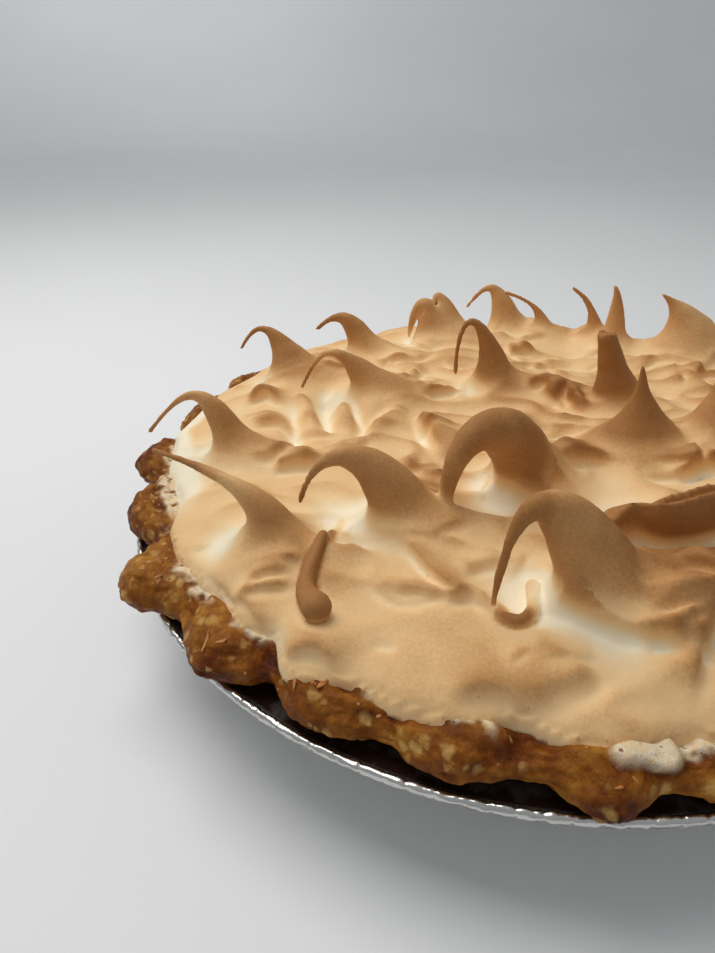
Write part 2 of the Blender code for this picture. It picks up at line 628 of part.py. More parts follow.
def clearance_cutter():
    """Turned body of all that the meringue must leave free: the crust, the tin and what is below them."""
    crest = LIP_CREST_HEIGHT + LOBE_CREST_RISE + GAP
    outline = [
        (LIP_INNER_RADIUS - GAP, FILLING_HEIGHT + GAP),
        (LIP_INNER_RADIUS + INNER_SLOPE - GAP, LIP_CREST_HEIGHT - INNER_DROP + GAP),
        (LIP_INNER_RADIUS + CREST_RAMP, crest),
        (TIN_RIM_RADIUS + CUTTER_MARGIN, crest),
        (TIN_RIM_RADIUS + CUTTER_MARGIN, FILLING_HEIGHT - CUTTER_DEPTH),
    ]
    count = CUTTER_SIDES
    bearings = [360 * i / count for i in range(count)]
    rings = [([radius] * count, [height] * count) for radius, height in reversed(outline)]
    bm = solid_of_rings(rings, bearings, FILLING_HEIGHT - CUTTER_DEPTH, FILLING_HEIGHT + GAP)
    cutter = add_object("meringue_clearance", bm, material("guide", (0.8, 0.1, 0.1), 0.5))
    cutter.hide_render = True
    cutter.display_type = "WIRE"
    return cutter


def build_meringue():
    """Toasted meringue: the spread body and every peak and strand, fused into one solid."""
    bm = bmesh.new()
    add_spread(bm)
    for peak in PEAKS:
        add_peak(bm, peak)
    for strand in STRANDS:
        add_strand(bm, strand)
    obj = add_object("meringue", bm, material("toasted_meringue", (0.62, 0.42, 0.22), 0.6))
    fuse = obj.modifiers.new("Fuse", "REMESH")
    fuse.mode = "VOXEL"
    fuse.voxel_size = VOXEL
    fuse.use_smooth_shade = True
    soften = obj.modifiers.new("Soften", "SMOOTH")
    soften.factor = 0.5
    soften.iterations = 3
    fused = obj.evaluated_get(bpy.context.evaluated_depsgraph_get()).data
    fused.calc_loop_triangles()
    lighten = obj.modifiers.new("Lighten", "DECIMATE")
    lighten.ratio = MERINGUE_TRIANGLES / len(fused.loop_triangles)
    lighten.use_collapse_triangulate = True
    seat = obj.modifiers.new("Seat", "BOOLEAN")
    seat.operation = "DIFFERENCE"
    seat.object = clearance_cutter()
    return obj


def main():
    for obj in list(bpy.data.objects):
        bpy.data.objects.remove(obj)
    build_tin()
    build_crust()
    build_meringue()


main()
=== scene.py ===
"""Looks of the lemon meringue pie: toasted meringue, baked crust and foil tin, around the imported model.

Shapes are worked out in millimetres and become metres when a piece is made. The front is -Y.
A bearing is in degrees from the front, turning towards -X.
"""

import math
import random
from collections import namedtuple

import bpy
import numpy as np
from mathutils.bvhtree import BVHTree
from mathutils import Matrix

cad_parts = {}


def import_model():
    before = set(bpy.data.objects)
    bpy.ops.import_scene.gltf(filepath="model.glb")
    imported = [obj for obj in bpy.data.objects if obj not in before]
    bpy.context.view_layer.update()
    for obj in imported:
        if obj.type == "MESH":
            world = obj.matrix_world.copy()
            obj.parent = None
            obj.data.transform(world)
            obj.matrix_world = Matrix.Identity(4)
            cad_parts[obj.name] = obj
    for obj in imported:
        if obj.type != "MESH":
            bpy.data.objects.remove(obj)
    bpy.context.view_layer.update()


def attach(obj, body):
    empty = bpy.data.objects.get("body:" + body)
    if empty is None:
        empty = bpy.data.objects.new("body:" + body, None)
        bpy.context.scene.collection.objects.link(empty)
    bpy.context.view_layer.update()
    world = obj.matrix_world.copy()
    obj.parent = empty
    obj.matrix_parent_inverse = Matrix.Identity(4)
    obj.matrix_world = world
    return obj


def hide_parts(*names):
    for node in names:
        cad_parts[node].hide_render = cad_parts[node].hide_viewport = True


MM = 0.001

# Foil tin
TIN_RIM_RADIUS = 120.0
TIN_RIM_HEIGHT = 29.6
TIN_BASE_RADIUS = 91.0
TIN_WALL_TOP_RADIUS = 107.0
TIN_WALL_TOP_HEIGHT = 27.6
TIN_BASE_ROUNDING = 1.6
FOIL_THICKNESS = 0.5
FLANGE_INNER_RADIUS = 109.4
FLANGE_INNER_HEIGHT = 28.4
BEAD_RADIUS = 1.2
BEAD_STEPS = 12
BEAD_ARC = 280
TIN_STEPS = 1320
WALL_STEPS = 7
FLUTES = 110
FLUTE_DEPTH = 0.55
# Rows of the flange's upper side: radius, height above it and share of the flutes.
FLANGE_ROWS = [(117.4, 0.15, 0.0), (116.6, 0.0, 0.0), (113.5, 0.0, 0.1), (110.9, 0.0, 0.2)]
# Band of the flange that is painted dark brown: partly baked-on stains, partly painted shade under the
# crust and a painted reflection of its dark underside.
STAIN_AND_SHADE_FROM = 106.5
STAIN_AND_SHADE_TO = 117.6

# Crust: heights of its rolled lip, then how far in from the tip each turn of its section lies
LIP_UNDERSIDE_HEIGHT = 31.1
LIP_TIP_HEIGHT = 35.6
LIP_CREST_HEIGHT = 40.6
LOBE_CREST_RISE = 1.4
LIP_INNER_RADIUS = 101.0
FILLING_HEIGHT = 38.0
CRUST_CLEARANCE = 1.4
CRUST_FLOOR = 0.8
FLANGE_STEP = 1.6
TUCK_INSET = 3.4
BELLY_INSET = 0.6
BELLY_RISE = 1.7
SHOULDER_INSET = 2.6
SHOULDER_RISE = 3.6
LOBE_SHOULDER_RISE = 0.5
CREST_INSET = 7.5
INNER_SLOPE = 2.5
INNER_DROP = 0.4
CRUST_SINK = 0.75
SMEAR_THICKNESS = 0.2
UNSEEN_LOBES = 17
CRUST_STEPS = 1200
ROW_STEPS = [2, 2, 6, 6, 8, 9, 11, 26, 3]

# Meringue: its form
EDGE_RADIUS = 110.5
EDGE_HEIGHT = 42.2
DOME_RISE = 10.6
DOME_FLATNESS = 5
PEAK_RINGS = 30
PEAK_ROOT_DEPTH = 6.0
ROOT_PART_END = 0.6
TIP_PART_START = 0.5
TIP_FILLET = 0.9
ROOT_FILLET = 9.0
STRAND_TAPER = 2.4
STRAND_LIFT = 0.8
STRAND_SUNK_SHARE = 0.3
STRAND_FILLET = 0.5
STRAND_SMOOTHING = 12
RIDGE_HEIGHT = 2.7
RIDGE_SIZE = 14
EDGE_DROP = 2.8
TUBE_MARGIN = 9
TEAR_REACH = 7
TEAR_RISE = 0.3
TEAR_DEPTH = 1.5
UNSEEN_PEAKS = 12
PEAK_TRIES = 4000
SCATTERED_FOLDS = 110
SCATTER_RADIUS = 102.0
PEAK_SPACING = 24.0
PEAK_FIELD_RADIUS = 93.0
VIEW_FOOT_Y = -205.0
VIEW_SLOPE = 0.21
PEAK_MARGIN = 15

# Meringue: the grid it is worked out on, the lean of its steep folds, and the space around it
PITCH = 0.78
GRID_HALF = 114.0
GRID_BOTTOM = 38.2
GRID_TOP = 81.5
OVERHANG = 0.4
OVERHANG_X = -0.5
OVERHANG_Y = -0.87
CROWDING_PAD = 24
CLOSE_SIZE = 2.0
WIDE_SIZE = 5.0
CLOSE_FLAT_SHARE = 0.21
SHELTER_AHEAD = np.array([3.5, 1.5, 8.0])

# Stage: the floor's sides and rise in millimetres, the camera's lens in millimetres, its place in metres,
# how far it looks up from straight down and how far it is turned, in degrees
FLOOR_STEPS = 96
FLOOR_RISE = 1900
CAMERA_LENS = 27.05
CAMERA_PLACE = (0, -0.2056, 0.1524)
CAMERA_TILT = 58.9
CAMERA_TURN = 14.62

# Meringue: how brown its open skin is, and what crests, shelter, height and distance add
OPEN_TOAST = 0.68
CREST_TOAST = 0.95
SHELTER_TOAST = 1.6
HIGH_TOAST = 0.18
FAR_TOAST = 0.16
STRAND_TOAST = 0.38
RIM_TOAST = 0.75

Lobe = namedtuple("Lobe", "bearing tip dip slimness")
SEEN_LOBES = [Lobe(*row) for row in (
    (77, 124.5, 114.5, 0.8),
    (63, 122.5, 117.0, 0.7),
    (47, 128.0, 119.0, 1.2),
    (30.5, 123.5, 115.8, 1.0),
    (17.5, 119.3, 116.0, 1.0),
    (2.5, 119.4, 117.0, 1.3),
    (-11.5, 123.0, 117.8, 2.0),
)]

# Dried meringue on the crust: bearing, half its spread in degrees, and the radius that it reaches.
SMEARS = [
    (70, 16, 111.6), (41, 5.5, 113.2), (28.5, 3, 111.8), (10, 3, 110), (1.5, 3, 111.5),
    (-21, 3, 114.5), (-60, 6, 112), (-105, 9, 113), (-150, 6, 112), (165, 8, 113), (120, 7, 112),
]
Drip = namedtuple("Drip", "bearing radius length width height")
DRIP = Drip(-15.5, 112, 8.0, 4.0, 1.8)
# Flakes on the rim: bearing, radius, size, how slim, and the way they point in degrees.
CHIPS = [
    (31, 119, 2.4, 0.22, 60), (29.5, 117, 1.3, 0.4, 20),
    (-12, 119, 1.0, 0.3, 10), (-13.5, 117.5, 0.9, 0.3, 150),
    (47, 116, 1.6, 0.5, 130), (44, 118, 1.2, 0.4, 40),
    (20, 114, 2.2, 0.2, 100), (17, 112.5, 1.4, 0.4, 60),
]
CRUMBS = 80
CHIP_SIDES = 14
# Lobes that baked darker: bearing and how much.
DARK_LOBES = [
    (-11.5, 0.35), (2.5, 0.12), (17.5, 0.2), (30.5, 0.2), (63, 0.2), (77, 0.25),
    (-60, 0.3), (-130, 0.25), (150, 0.3),
]

# A pulled peak. x, y: its foot. lean: the way it is pulled, in degrees from +X towards +Y.
# reach, height: how far its tip goes and how high its bend stands. tip: the tip's height.
# width: half the body's width at the foot. end: half the tip's width. back, front: where the two
# shoulders of its bend stand, as shares of the reach. taper: how soon the body gets thin.
PEAK_FIELDS = "x y lean reach height tip width end back front taper"
Peak = namedtuple("Peak", PEAK_FIELDS, defaults=(0.25, 0.95, 2.4))
SEEN_PEAKS = [Peak(*row) for row in (
    (-81, 23, 189, 21, 15.2, 7.9, 12.4, 0.7, 0.47, 0.7, 4.6),
    (-80.2, -34, 185, 28.3, 15.2, 2.3, 7, 0.7, 0.34, 0.5, 2.9),
    (-55.8, -73, 175, 31, 17.5, 17.5, 9.5, 0.7, 0.27, 0.74, 2.0),
    (-24, -58, 197, 28.1, 16.1, 4, 9, 0.7, 0.41, 0.84, 2.0),
    (3.6, -30, 231, 31.2, 18, -9.2, 9.2, 1.3, 0.39, 1.19, 1.3),
    (23.6, -72.8, 206, 28.0, 22.2, -1.9, 10.5, 0.8, 0.70, 0.92, 2.1),
    (-10.4, 28, 193, 15.2, 21.3, 3.1, 9, 0.7, 0.48, 1.08, 5),
    (-46.5, 12, 196, 28.5, 13.3, 1.2, 10.4, 0.7, 0.64, 0.73, 4.7),
    (-62.9, 53, 194, 19.8, 11.2, 6.9, 6.6, 0.7, 0.39, 0.64, 2),
    (-42.3, 69, 195, 7.7, 12.9, -0.1, 5.0, 0.9, -0.27, 0.76, 1.2),
    (-32, 74, 194, 9.8, 15.4, 9.9, 7.5, 0.9, 0.58, 0.99, 3.4),
    (-11, 92, 196, 19, 16.6, 9.2, 8.2, 0.7, 0.39, 0.58, 2.8),
    (2, 88, 190, 16.5, 16, 16.1, 8.5, 0.7, 0.83, 0.92, 3.8),
    (22.4, 88, 194, 11.2, 17.9, 20, 5.8, 0.7, 0.25, 0.95, 2.7),
    (28.9, 77, 200, 2.8, 23.3, 23.3, 5.6, 0.8, 0.25, 0.95, 1.3),
    (27.5, 21, 200, 6.9, 8.5, 23.1, 10.6, 2.9, 0.25, 0.95, 1.4),
    (32.7, -6, 194, 3.2, 11.3, 23.1, 18, 0.7, 0.25, 0.95, 1.45),
    (55.2, 74, 198, 13.4, 22.4, 24.7, 22, 0.7, 0.25, 0.95, 1.5),
    (57, 4, 200, 7, 22, 25.5, 16, 1.2, 0.25, 0.95, 1.7),
)]
TORN_PEAK = 15

# How a peak shapes the surface around it, as shares of its height.
MOUND_SHARE = 0.12
HOLLOW_SHARE = 0.16
TAIL_SHARE = 0.22
TAIL_LENGTH = 26
PEAK_DEPTH_SHARE = 0.75

# How far the spread lies below the plain dome, how much its relief is levelled at a peak's foot, and
# how much higher its folds are than their table says.
SINK = 2.6
FOOT_LEVELLING = 0.85
FOLD_GAIN = 1.35

# How a fold's section looks: its ends' fade, its easy side's sharpness, and the dip at its steep foot
# with the dip's width.
FOLD_FADE = 0.3
FOLD_SHARPNESS = 1.5
FOLD_UNDERCUT = 0.35
FOLD_FOOT = 3

# A fold of the surface: points along its crest, its height, and its half-widths on the steep side, which
# is on the right of the way the points run, and on the easy side. A valley has a height below 0.
Fold = namedtuple("Fold", "points height steep easy")
FOLDS = [Fold(*row) for row in (
    # Between the peaks on the left
    ([(-69, -42), (-63, -38.5), (-55, -37)], 2.6, 1.6, 5),
    ([(-62, -18), (-70, -3), (-76, 6)], 2.2, 3.5, 3.5),
    ([(-51, -14), (-61, 4)], 2.0, 3.5, 3.5),
    ([(-56, -22), (-64, -3), (-71, 16)], -4.0, 3.5, 3.5),
    ([(-62, -34), (-69, -20), (-77, 0)], -3.8, 3.2, 3.2),
    ([(-46, -22), (-52, -8), (-57, 4)], -2.4, 2.4, 2.4),
    ([(-92, -4), (-87, 4), (-78, -4)], 3.6, 1.6, 3.5),
    ([(-84, -20), (-77, -14), (-68, -17)], 2.2, 2.4, 4),
    ([(-34, -3), (-28, -8), (-20, -25)], 3.8, 4.5, 6),
    ([(-36, 0), (-42, -8), (-45, -26)], 2.4, 6, 5),
    # Along the front
    ([(-57, -88.5), (-53, -85.5), (-47, -84)], 2.0, 0.9, 3),
    ([(-58, -92), (-53, -89.5), (-45, -87)], 1.7, 0.9, 2.5),
    ([(-51, -81.5), (-45, -81)], 1.1, 0.8, 2),
    ([(-79, -77.5), (-76, -75), (-72, -73.5)], 0.9, 0.7, 2),
    ([(-79, -76), (-76.5, -80), (-70, -84)], 1.2, 0.8, 3),
    ([(-62, -89), (-54, -94), (-48, -99)], 1.4, 0.9, 3.5),
    ([(-44, -106), (-39, -103.5), (-34, -103.5), (-30, -107)], 3.0, 1.3, 5),
    ([(-26, -99), (-19, -99)], -1.3, 1.0, 1.6),
    ([(-26, -68), (-21.7, -71.4), (-16.4, -77.5), (-12.3, -81), (-7, -83)], 2.4, 1.0, 6),
    ([(-30, -83), (-22, -84), (-17.5, -83.8), (-14, -84), (-7, -84)], 2.0, 1.0, 6),
    ([(-13, -86.5), (-7, -81.5), (-1, -86)], 2.0, 1.7, 3),
    ([(-10, -75.5), (-6, -71), (0, -68)], 1.3, 0.9, 3),
    ([(3, -99), (7, -95)], 1.0, 0.8, 1.5),
    ([(4, -105.5), (11, -102), (16, -99), (18.5, -94)], 2.4, 4.5, 6),
    ([(-9, -109), (-2, -105), (4, -104), (10, -107)], 2.2, 3.0, 5),
    ([(29, -82.5), (36, -79), (45, -77), (58, -79)], 3.4, 2.0, 7),
    ([(27, -89), (33, -85), (40, -89)], 2.2, 3, 3),
    ([(15, -70.5), (21, -73), (28, -74)], 1.2, 1.3, 3),
    ([(35.5, -71.5), (39.5, -71.5)], -1.6, 0.8, 1.2),
    # In the middle and at the back
    ([(12, -60), (23, -56), (29, -52), (36, -52), (48, -46), (68, -36), (92, -22)], 9.5, 3.0, 8),
    ([(32, -50.5), (35, -48.5), (41, -46), (46, -44), (56, -38)], 2.8, 0.9, 3),
    ([(8, -34), (16, -38), (26, -40), (38, -36)], -2.6, 7, 7),
    ([(5, -8), (11, -3.5), (16, -2), (23, -1)], 2.2, 1.1, 5),
    ([(8, -26), (17, -20), (27, -17)], 3.4, 2.6, 6),
    ([(39, -20.5), (45.5, -19), (48, -13), (44, -8), (37, -7)], 3.2, 1.7, 4),
    ([(4, 16), (12, 25), (15, 20), (19, 8)], 4.4, 3.5, 6),
    ([(-1, 23), (3.5, 26), (8, 25)], 2.2, 1.7, 3),
    ([(-9, 38), (-6, 42), (-2, 42)], 1.4, 1.0, 3),
    ([(-1, 44), (4, 49), (9, 47)], 1.6, 1.1, 3),
    ([(-11, 59), (-5, 63), (1, 66)], 1.9, 1.8, 4),
    ([(35, 52), (43, 62), (52, 61), (62, 58)], 3.0, 1.8, 6),
    ([(49, 46), (54, 46)], -1.4, 1.2, 1.6),
    ([(-44, 15), (-41, 26), (-40, 36)], 1.9, 1.8, 3),
    ([(-36, 11), (-29, 18), (-23, 22)], 2.6, 2.2, 4),
)]

# Round knobs (and, below 0, hollows) of the surface.
Lump = namedtuple("Lump", "x y spread height")
LUMPS = [Lump(*row) for row in (
    (-72, 34, 6.0, 6.0), (24, -38, 11, -3.2), (-44, -58, 9, -2.6), (-69, -74, 7, -2.6),
    (3, -78, 8, -2.8), (23, -93, 8, -1.8), (-30, 50, 8, 1.8),
)]

# Places that stayed nearly white or, below 0, browned more: the height is how much less brown they are.
PALE = [Lump(*row) for row in (
    (-46, -57, 8, 0.35), (-68, -72, 7, 0.3), (4, -76, 7, 0.3), (24, -88, 10, 0.05),
    (24, -36, 10, 0.2), (-62, -4, 5, 0.2), (-94, -30, 9, 0.3),
    (48, -54, 14, -0.22), (18, -14, 10, -0.12), (33, -10, 9, -0.15), (27, 20, 9, -0.1),
    (38, -60, 12, -0.45), (-75, -5, 5, 0.25), (-68, -18, 5, 0.25), (-66, 8, 5, 0.3),
    (13, 18, 10, -0.32), (-12, 14, 9, -0.15), (4, -84, 4, -0.3), (15, -68, 8, -0.25),
    (-19, -40, 9, -0.3), (-41, -88, 7, -0.2), (5, -40, 6, -0.2), (24, -86, 6, 0.15),
    (27, 46, 8, -0.2),
)]

# Strands that broke off and lie on the surface: their points, then the half-width at each end.
Strand = namedtuple("Strand", "points start end")
STRANDS = [Strand(*row) for row in (
    ([(-42.5, -57.7), (-43, -66), (-42.5, -78), (-43.4, -85), (-42.6, -90), (-38, -95)], 1.0, 3.4),
    ([(0.1, -82), (0.9, -86.4), (3.9, -87.6), (6.8, -84.5), (7.4, -79), (6.5, -74.6)], 1.5, 1.7),
    ([(-8.5, -41), (-7.6, -37), (-5.9, -33), (-3.1, -34), (-0.3, -38)], 0.9, 0.9),
)]

# Waves of the meringue's edge: how many go round, where they start, and how far they stand out.
EDGE_WAVES = [(9, 1.0, 0.9), (14, 2.2, 0.7), (23, 0.0, 0.5), (41, 0.7, 0.35)]

# Bulges of the meringue's edge: bearing, spread in degrees and how far it stands out.
EDGE_BULGES = [
    (30.5, 2.2, 1.8), (25.5, 2.0, -2.6), (21, 3.5, 2.6), (-3, 5, -4.0),
    (-13, 4, 3.0), (36, 3, -2.5), (60, 14, -2.5), (150, 12, 2.0),
]


def srgb(red, green, blue):
    """Return a linear colour from 8-bit display values."""
    linear = [((v / 255 + 0.055) / 1.055) ** 2.4 if v > 10 else v / 255 / 12.92 for v in (red, green, blue)]
    return (*linear, 1.0)


def smoothstep(low, high, value):
    """Return 0 below low, 1 above high and an even S-curve between them."""
    t = np.clip((value - low) / (high - low), 0, 1)
    return t * t * (3 - 2 * t)


def on_bearing(radius, bearing):
    """Return x, y at radii and bearings in degrees."""
    turn = np.radians(bearing)
    return -radius * np.sin(turn), -radius * np.cos(turn)


# Noise
def hashed(cells, seed):
    """Return a repeatable random number from 0 to 1 for each integer cell."""
    value = cells[..., 0] * 374761393 + cells[..., 1] * 668265263 + cells[..., 2] * 1274126177
    value = (value + seed * 974711) & 0xFFFFFFFF
    value = ((value ^ (value >> 13)) * 1103515245) & 0xFFFFFFFF
    value = ((value ^ (value >> 15)) * 747796405) & 0xFFFFFFFF
    return ((value ^ (value >> 16)) & 0xFFFFFF) / 0xFFFFFF


def noise(points, size, seed=0):
    """Return smooth gradient noise, about -1 to 1, with lumps of the given size."""
    scaled = np.asarray(points, float) / size
    base = np.floor(scaled).astype(np.int64)
    inner = scaled - base
    ease = inner**3 * (inner * (inner * 6 - 15) + 10)
    total = 0
    for corner in np.ndindex(2, 2, 2):
        corner = np.array(corner)
        turn = 2 * np.pi * hashed(base + corner, seed)
        rise = 2 * hashed(base + corner, seed + 91) - 1
        flat = np.sqrt(1 - rise**2)
        away = inner - corner
        slope = flat * (np.cos(turn) * away[..., 0] + np.sin(turn) * away[..., 1]) + rise * away[..., 2]
        weight = np.prod(np.where(corner == 1, ease, 1 - ease), -1)
        total = total + weight * slope
    return 1.6 * total


# Meshes
def add_piece(name, points, faces, mat):
    """Make a smooth-shaded object from points in millimetres and faces."""
    mesh = bpy.data.meshes.new(name)
    mesh.from_pydata((np.asarray(points) * MM).tolist(), [], [list(map(int, face)) for face in faces])
    mesh.update()
    mesh.shade_smooth()
    mesh.materials.append(mat)
    obj = bpy.data.objects.new(name, mesh)
    bpy.context.scene.collection.objects.link(obj)
    return obj


def set_attribute(obj, name, values):
    """Give each vertex of a piece a number that its material can read."""
    attribute = obj.data.attributes.new(name, "FLOAT", "POINT")
    attribute.data.foreach_set("value", np.asarray(values, np.float32))


def quad_normals(points, quads):
    """Return each vertex's unit normal from the quads around it."""
    corners = points[quads]
    across = np.cross(corners[:, 2] - corners[:, 0], corners[:, 3] - corners[:, 1])
    normals = np.zeros_like(points)
    for k in range(4):
        for axis in range(3):
            normals[:, axis] += np.bincount(quads[:, k], across[:, axis], len(points))
    return normals / np.maximum(np.linalg.norm(normals, axis=1), 1e-9)[:, None]


def relax(points, quads, rounds):
    """Smooth a mesh by moving each vertex towards its neighbours and part of the way back."""
    starts = quads.ravel()
    ends = np.roll(quads, -1, axis=1).ravel()
    count = np.bincount(starts, minlength=len(points)) + np.bincount(ends, minlength=len(points))
    count = np.maximum(count, 1)
    for _ in range(rounds):
        for share in (0.5, -0.53):
            mean = np.zeros_like(points)
            for axis in range(3):
                mean[:, axis] = np.bincount(starts, points[ends, axis], len(points))
                mean[:, axis] += np.bincount(ends, points[starts, axis], len(points))
            points = points + share * (mean / count[:, None] - points)
    return points


def grid_faces(rows, columns):
    """Return the quads of a sheet of rows that close round on themselves."""
    index = np.arange(rows * columns).reshape(rows, columns)
    after = np.roll(index, -1, axis=1)
    return np.stack([index[:-1], after[:-1], after[1:], index[1:]], -1).reshape(-1, 4)


def ring_rows(profile, bearings):
    """Return rows of points around the pie from pairs of radius and height."""
    rows = []
    for radius, height in profile:
        x, y = on_bearing(radius, bearings)
        rows.append(np.stack([x, y, height + 0 * x], 1))
    return np.array(rows)


def smooth_rows(rows, counts):
    """Return a Catmull-Rom sheet through key rows of points, with counts[i] steps from row i on."""
    keys = np.concatenate([[2 * rows[0] - rows[1]], rows, [2 * rows[-1] - rows[-2]]])
    made = []
    for i, count in enumerate(counts):
        p0, p1, p2, p3 = keys[i:i + 4]
        for t in np.arange(count) / count:
            made.append(0.5 * (2 * p1 + (p2 - p0) * t + (2 * p0 - 5 * p1 + 4 * p2 - p3) * t**2
                               + (3 * p1 - p0 - 3 * p2 + p3) * t**3))
    made.append(rows[-1])
    return np.array(made)


def surface_net(field):
    """Return the vertices, in grid steps, and quads of the surface of a field that is negative inside."""
    inside = field < 0
    cells = np.array(field.shape) - 1
    total = np.zeros((int(np.prod(cells)), 3))
    count = np.zeros(len(total))
    rings = []
    for axis in range(3):
        b, c = (axis + 1) % 3, (axis + 2) % 3
        low = tuple(slice(0, -1) if k == axis else slice(None) for k in range(3))
        high = tuple(slice(1, None) if k == axis else slice(None) for k in range(3))
        edge = np.argwhere(inside[low] != inside[high])
        ahead = edge.copy()
        ahead[:, axis] += 1
        start, end = field[tuple(edge.T)], field[tuple(ahead.T)]
        place = edge.astype(float)
        place[:, axis] += start / (start - end)
        ring = []
        whole = np.ones(len(edge), bool)
        for back_b, back_c in ((0, 0), (1, 0), (1, 1), (0, 1)):
            cell = edge.copy()
            cell[:, b] -= back_b
            cell[:, c] -= back_c
            valid = np.all((cell >= 0) & (cell < cells), axis=1)
            whole &= valid
            flat = np.ravel_multi_index(np.clip(cell, 0, cells - 1).T, cells)
            for k in range(3):
                total[:, k] += np.bincount(flat[valid], place[valid, k], len(total))
            count += np.bincount(flat[valid], minlength=len(total))
            ring.append(flat)
        ring = np.stack(ring, 1)
        ring[start > 0] = ring[start > 0][:, ::-1]
        rings.append(ring[whole])
    used = count > 0
    number = np.cumsum(used) - 1
    return total[used] / count[used][:, None], number[np.concatenate(rings)]


# Meringue
def unseen_peaks():
    """Return peaks for the side past the right of the view, spread evenly by a seeded rule."""
    rng = random.Random(5)
    peaks = []
    for _ in range(PEAK_TRIES):
        if len(peaks) == UNSEEN_PEAKS:
            break
        radius = PEAK_FIELD_RADIUS * math.sqrt(rng.random())
        x, y = on_bearing(radius, rng.uniform(0, 360))
        reach = rng.uniform(7, 27)
        if x < VIEW_SLOPE * (y - VIEW_FOOT_Y) + PEAK_MARGIN + reach:
            continue
        if min(math.hypot(x - p.x, y - p.y) for p in SEEN_PEAKS + peaks) < PEAK_SPACING:
            continue
        height = rng.uniform(14, 21)
        tip = height if reach < 11 else height * rng.uniform(0.0, 0.8)
        lean, width = rng.uniform(180, 225), rng.uniform(8, 12)
        peaks.append(Peak(x, y, lean, reach, height, tip, width, 1.0, rng.uniform(0.2, 0.5)))
    return peaks


def scattered_folds():
    """Return folds spread by a seeded rule: small where the view is, larger on the unseen side."""
    rng = random.Random(8)
    folds = []
    for _ in range(SCATTERED_FOLDS):
        x, y = on_bearing(SCATTER_RADIUS * math.sqrt(rng.random()), rng.uniform(0, 360))
        seen = x < VIEW_SLOPE * (y - VIEW_FOOT_Y)
        size = rng.uniform(0.3, 0.55) if seen else rng.uniform(0.5, 1.3)
        turn = math.radians(rng.gauss(20, 35))
        half = size * rng.uniform(12, 22)
        ux, uy = math.cos(turn), math.sin(turn)
        bow = rng.uniform(-0.4, 0.4) * half
        start, end = (x - half * ux, y - half * uy), (x + half * ux, y + half * uy)
        folds.append(Fold([start, (x - bow * uy, y + bow * ux), end], 2.6 * size, 0.8 + size, 3 + 5 * size))
    return folds


PEAKS = SEEN_PEAKS + unseen_peaks()
ALL_FOLDS = FOLDS + scattered_folds()


def edge_radius(bearing):
    """Return the radius of the meringue's wavy edge at bearings in degrees."""
    turn = np.radians(bearing)
    radius = EDGE_RADIUS
    for count, phase, amount in EDGE_WAVES:
        radius = radius + amount * np.sin(count * turn + phase)
    for centre, spread, amount in EDGE_BULGES:
        away = (bearing - centre + 180) % 360 - 180
        radius = radius + amount * np.exp(-((away / spread) ** 2))
    return radius


def bump(x, y, cx, cy, spread):
    """Return a round bump of height 1 centred on cx, cy."""
    return np.exp(-((x - cx) ** 2 + (y - cy) ** 2) / spread**2)


def curve_through(points, steps):
    """Return a smooth curve through points, with a number of steps from each to the next."""
    points = np.array(points, float)
    return smooth_rows(points[:, None], [steps] * (len(points) - 1))[:, 0]


def fold_height(x, y, fold):
    """Return a fold's height at x, y: a curved crest that falls off on each side and fades at its ends."""
    crest = curve_through(fold.points, 4)
    margin = 4 * max(fold.steep, fold.easy / 2)
    low, high = crest.min(0) - margin, crest.max(0) + margin
    height = np.zeros(x.shape)
    near = (x > low[0]) & (x < high[0]) & (y > low[1]) & (y < high[1])
    if not near.any():
        return height
    x, y = x[near], y[near]
    nearest = np.full(x.shape, np.inf)
    off, along = np.zeros(x.shape), np.zeros(x.shape)
    for i in range(len(crest) - 1):
        sx, sy = crest[i + 1] - crest[i]
        ox, oy = x - crest[i, 0], y - crest[i, 1]
        share = np.clip((ox * sx + oy * sy) / (sx * sx + sy * sy), 0, 1)
        ox, oy = ox - share * sx, oy - share * sy
        distance = np.hypot(ox, oy)
        closer = distance < nearest
        nearest = np.where(closer, distance, nearest)
        off = np.where(closer, np.sign(sx * oy - sy * ox) * distance, off)
        along = np.where(closer, (i + share) / (len(crest) - 1), along)
    ends = smoothstep(0, FOLD_FADE, along) * smoothstep(0, FOLD_FADE, 1 - along)
    easy = np.exp(-np.abs(off / fold.easy) ** FOLD_SHARPNESS)
    if fold.height > 0:
        foot = 1 - smoothstep(fold.steep, fold.steep + FOLD_FOOT, -off)
        steep = (1 + FOLD_UNDERCUT) * (1 - smoothstep(0, fold.steep, -off)) - FOLD_UNDERCUT * foot
    else:
        steep = np.exp(-((off / fold.steep) ** 2))
    height[near] = fold.height * ends * np.where(off > 0, easy, steep)
    return height


def swell(x, y):
    """Return the unevenness left by the spoon: broad and small waves that bend each other."""
    bend = 5 * np.sin(x / 23 + 0.6) + 4 * np.sin(y / 19 + 1.9)
    broad = np.sin((x + bend) / 13 + 0.4) * np.sin((y - bend) / 15 + 1.1)
    small = np.sin((x - 0.7 * y + bend) / 6.1) * np.sin((y + 0.4 * x) / 7.3 + 2.0)
    return 1.5 * broad + 0.5 * small


def dome_height(x, y):
    """Return the height of the plain dome, and its fullness, which falls to 0 at the meringue's edge."""
    bearing = np.degrees(np.arctan2(-x, -y))
    share = np.clip(np.hypot(x, y) / edge_radius(bearing), 0, 1)
    fullness = np.sqrt(1 - share**DOME_FLATNESS)
    return EDGE_HEIGHT + DOME_RISE * fullness, fullness


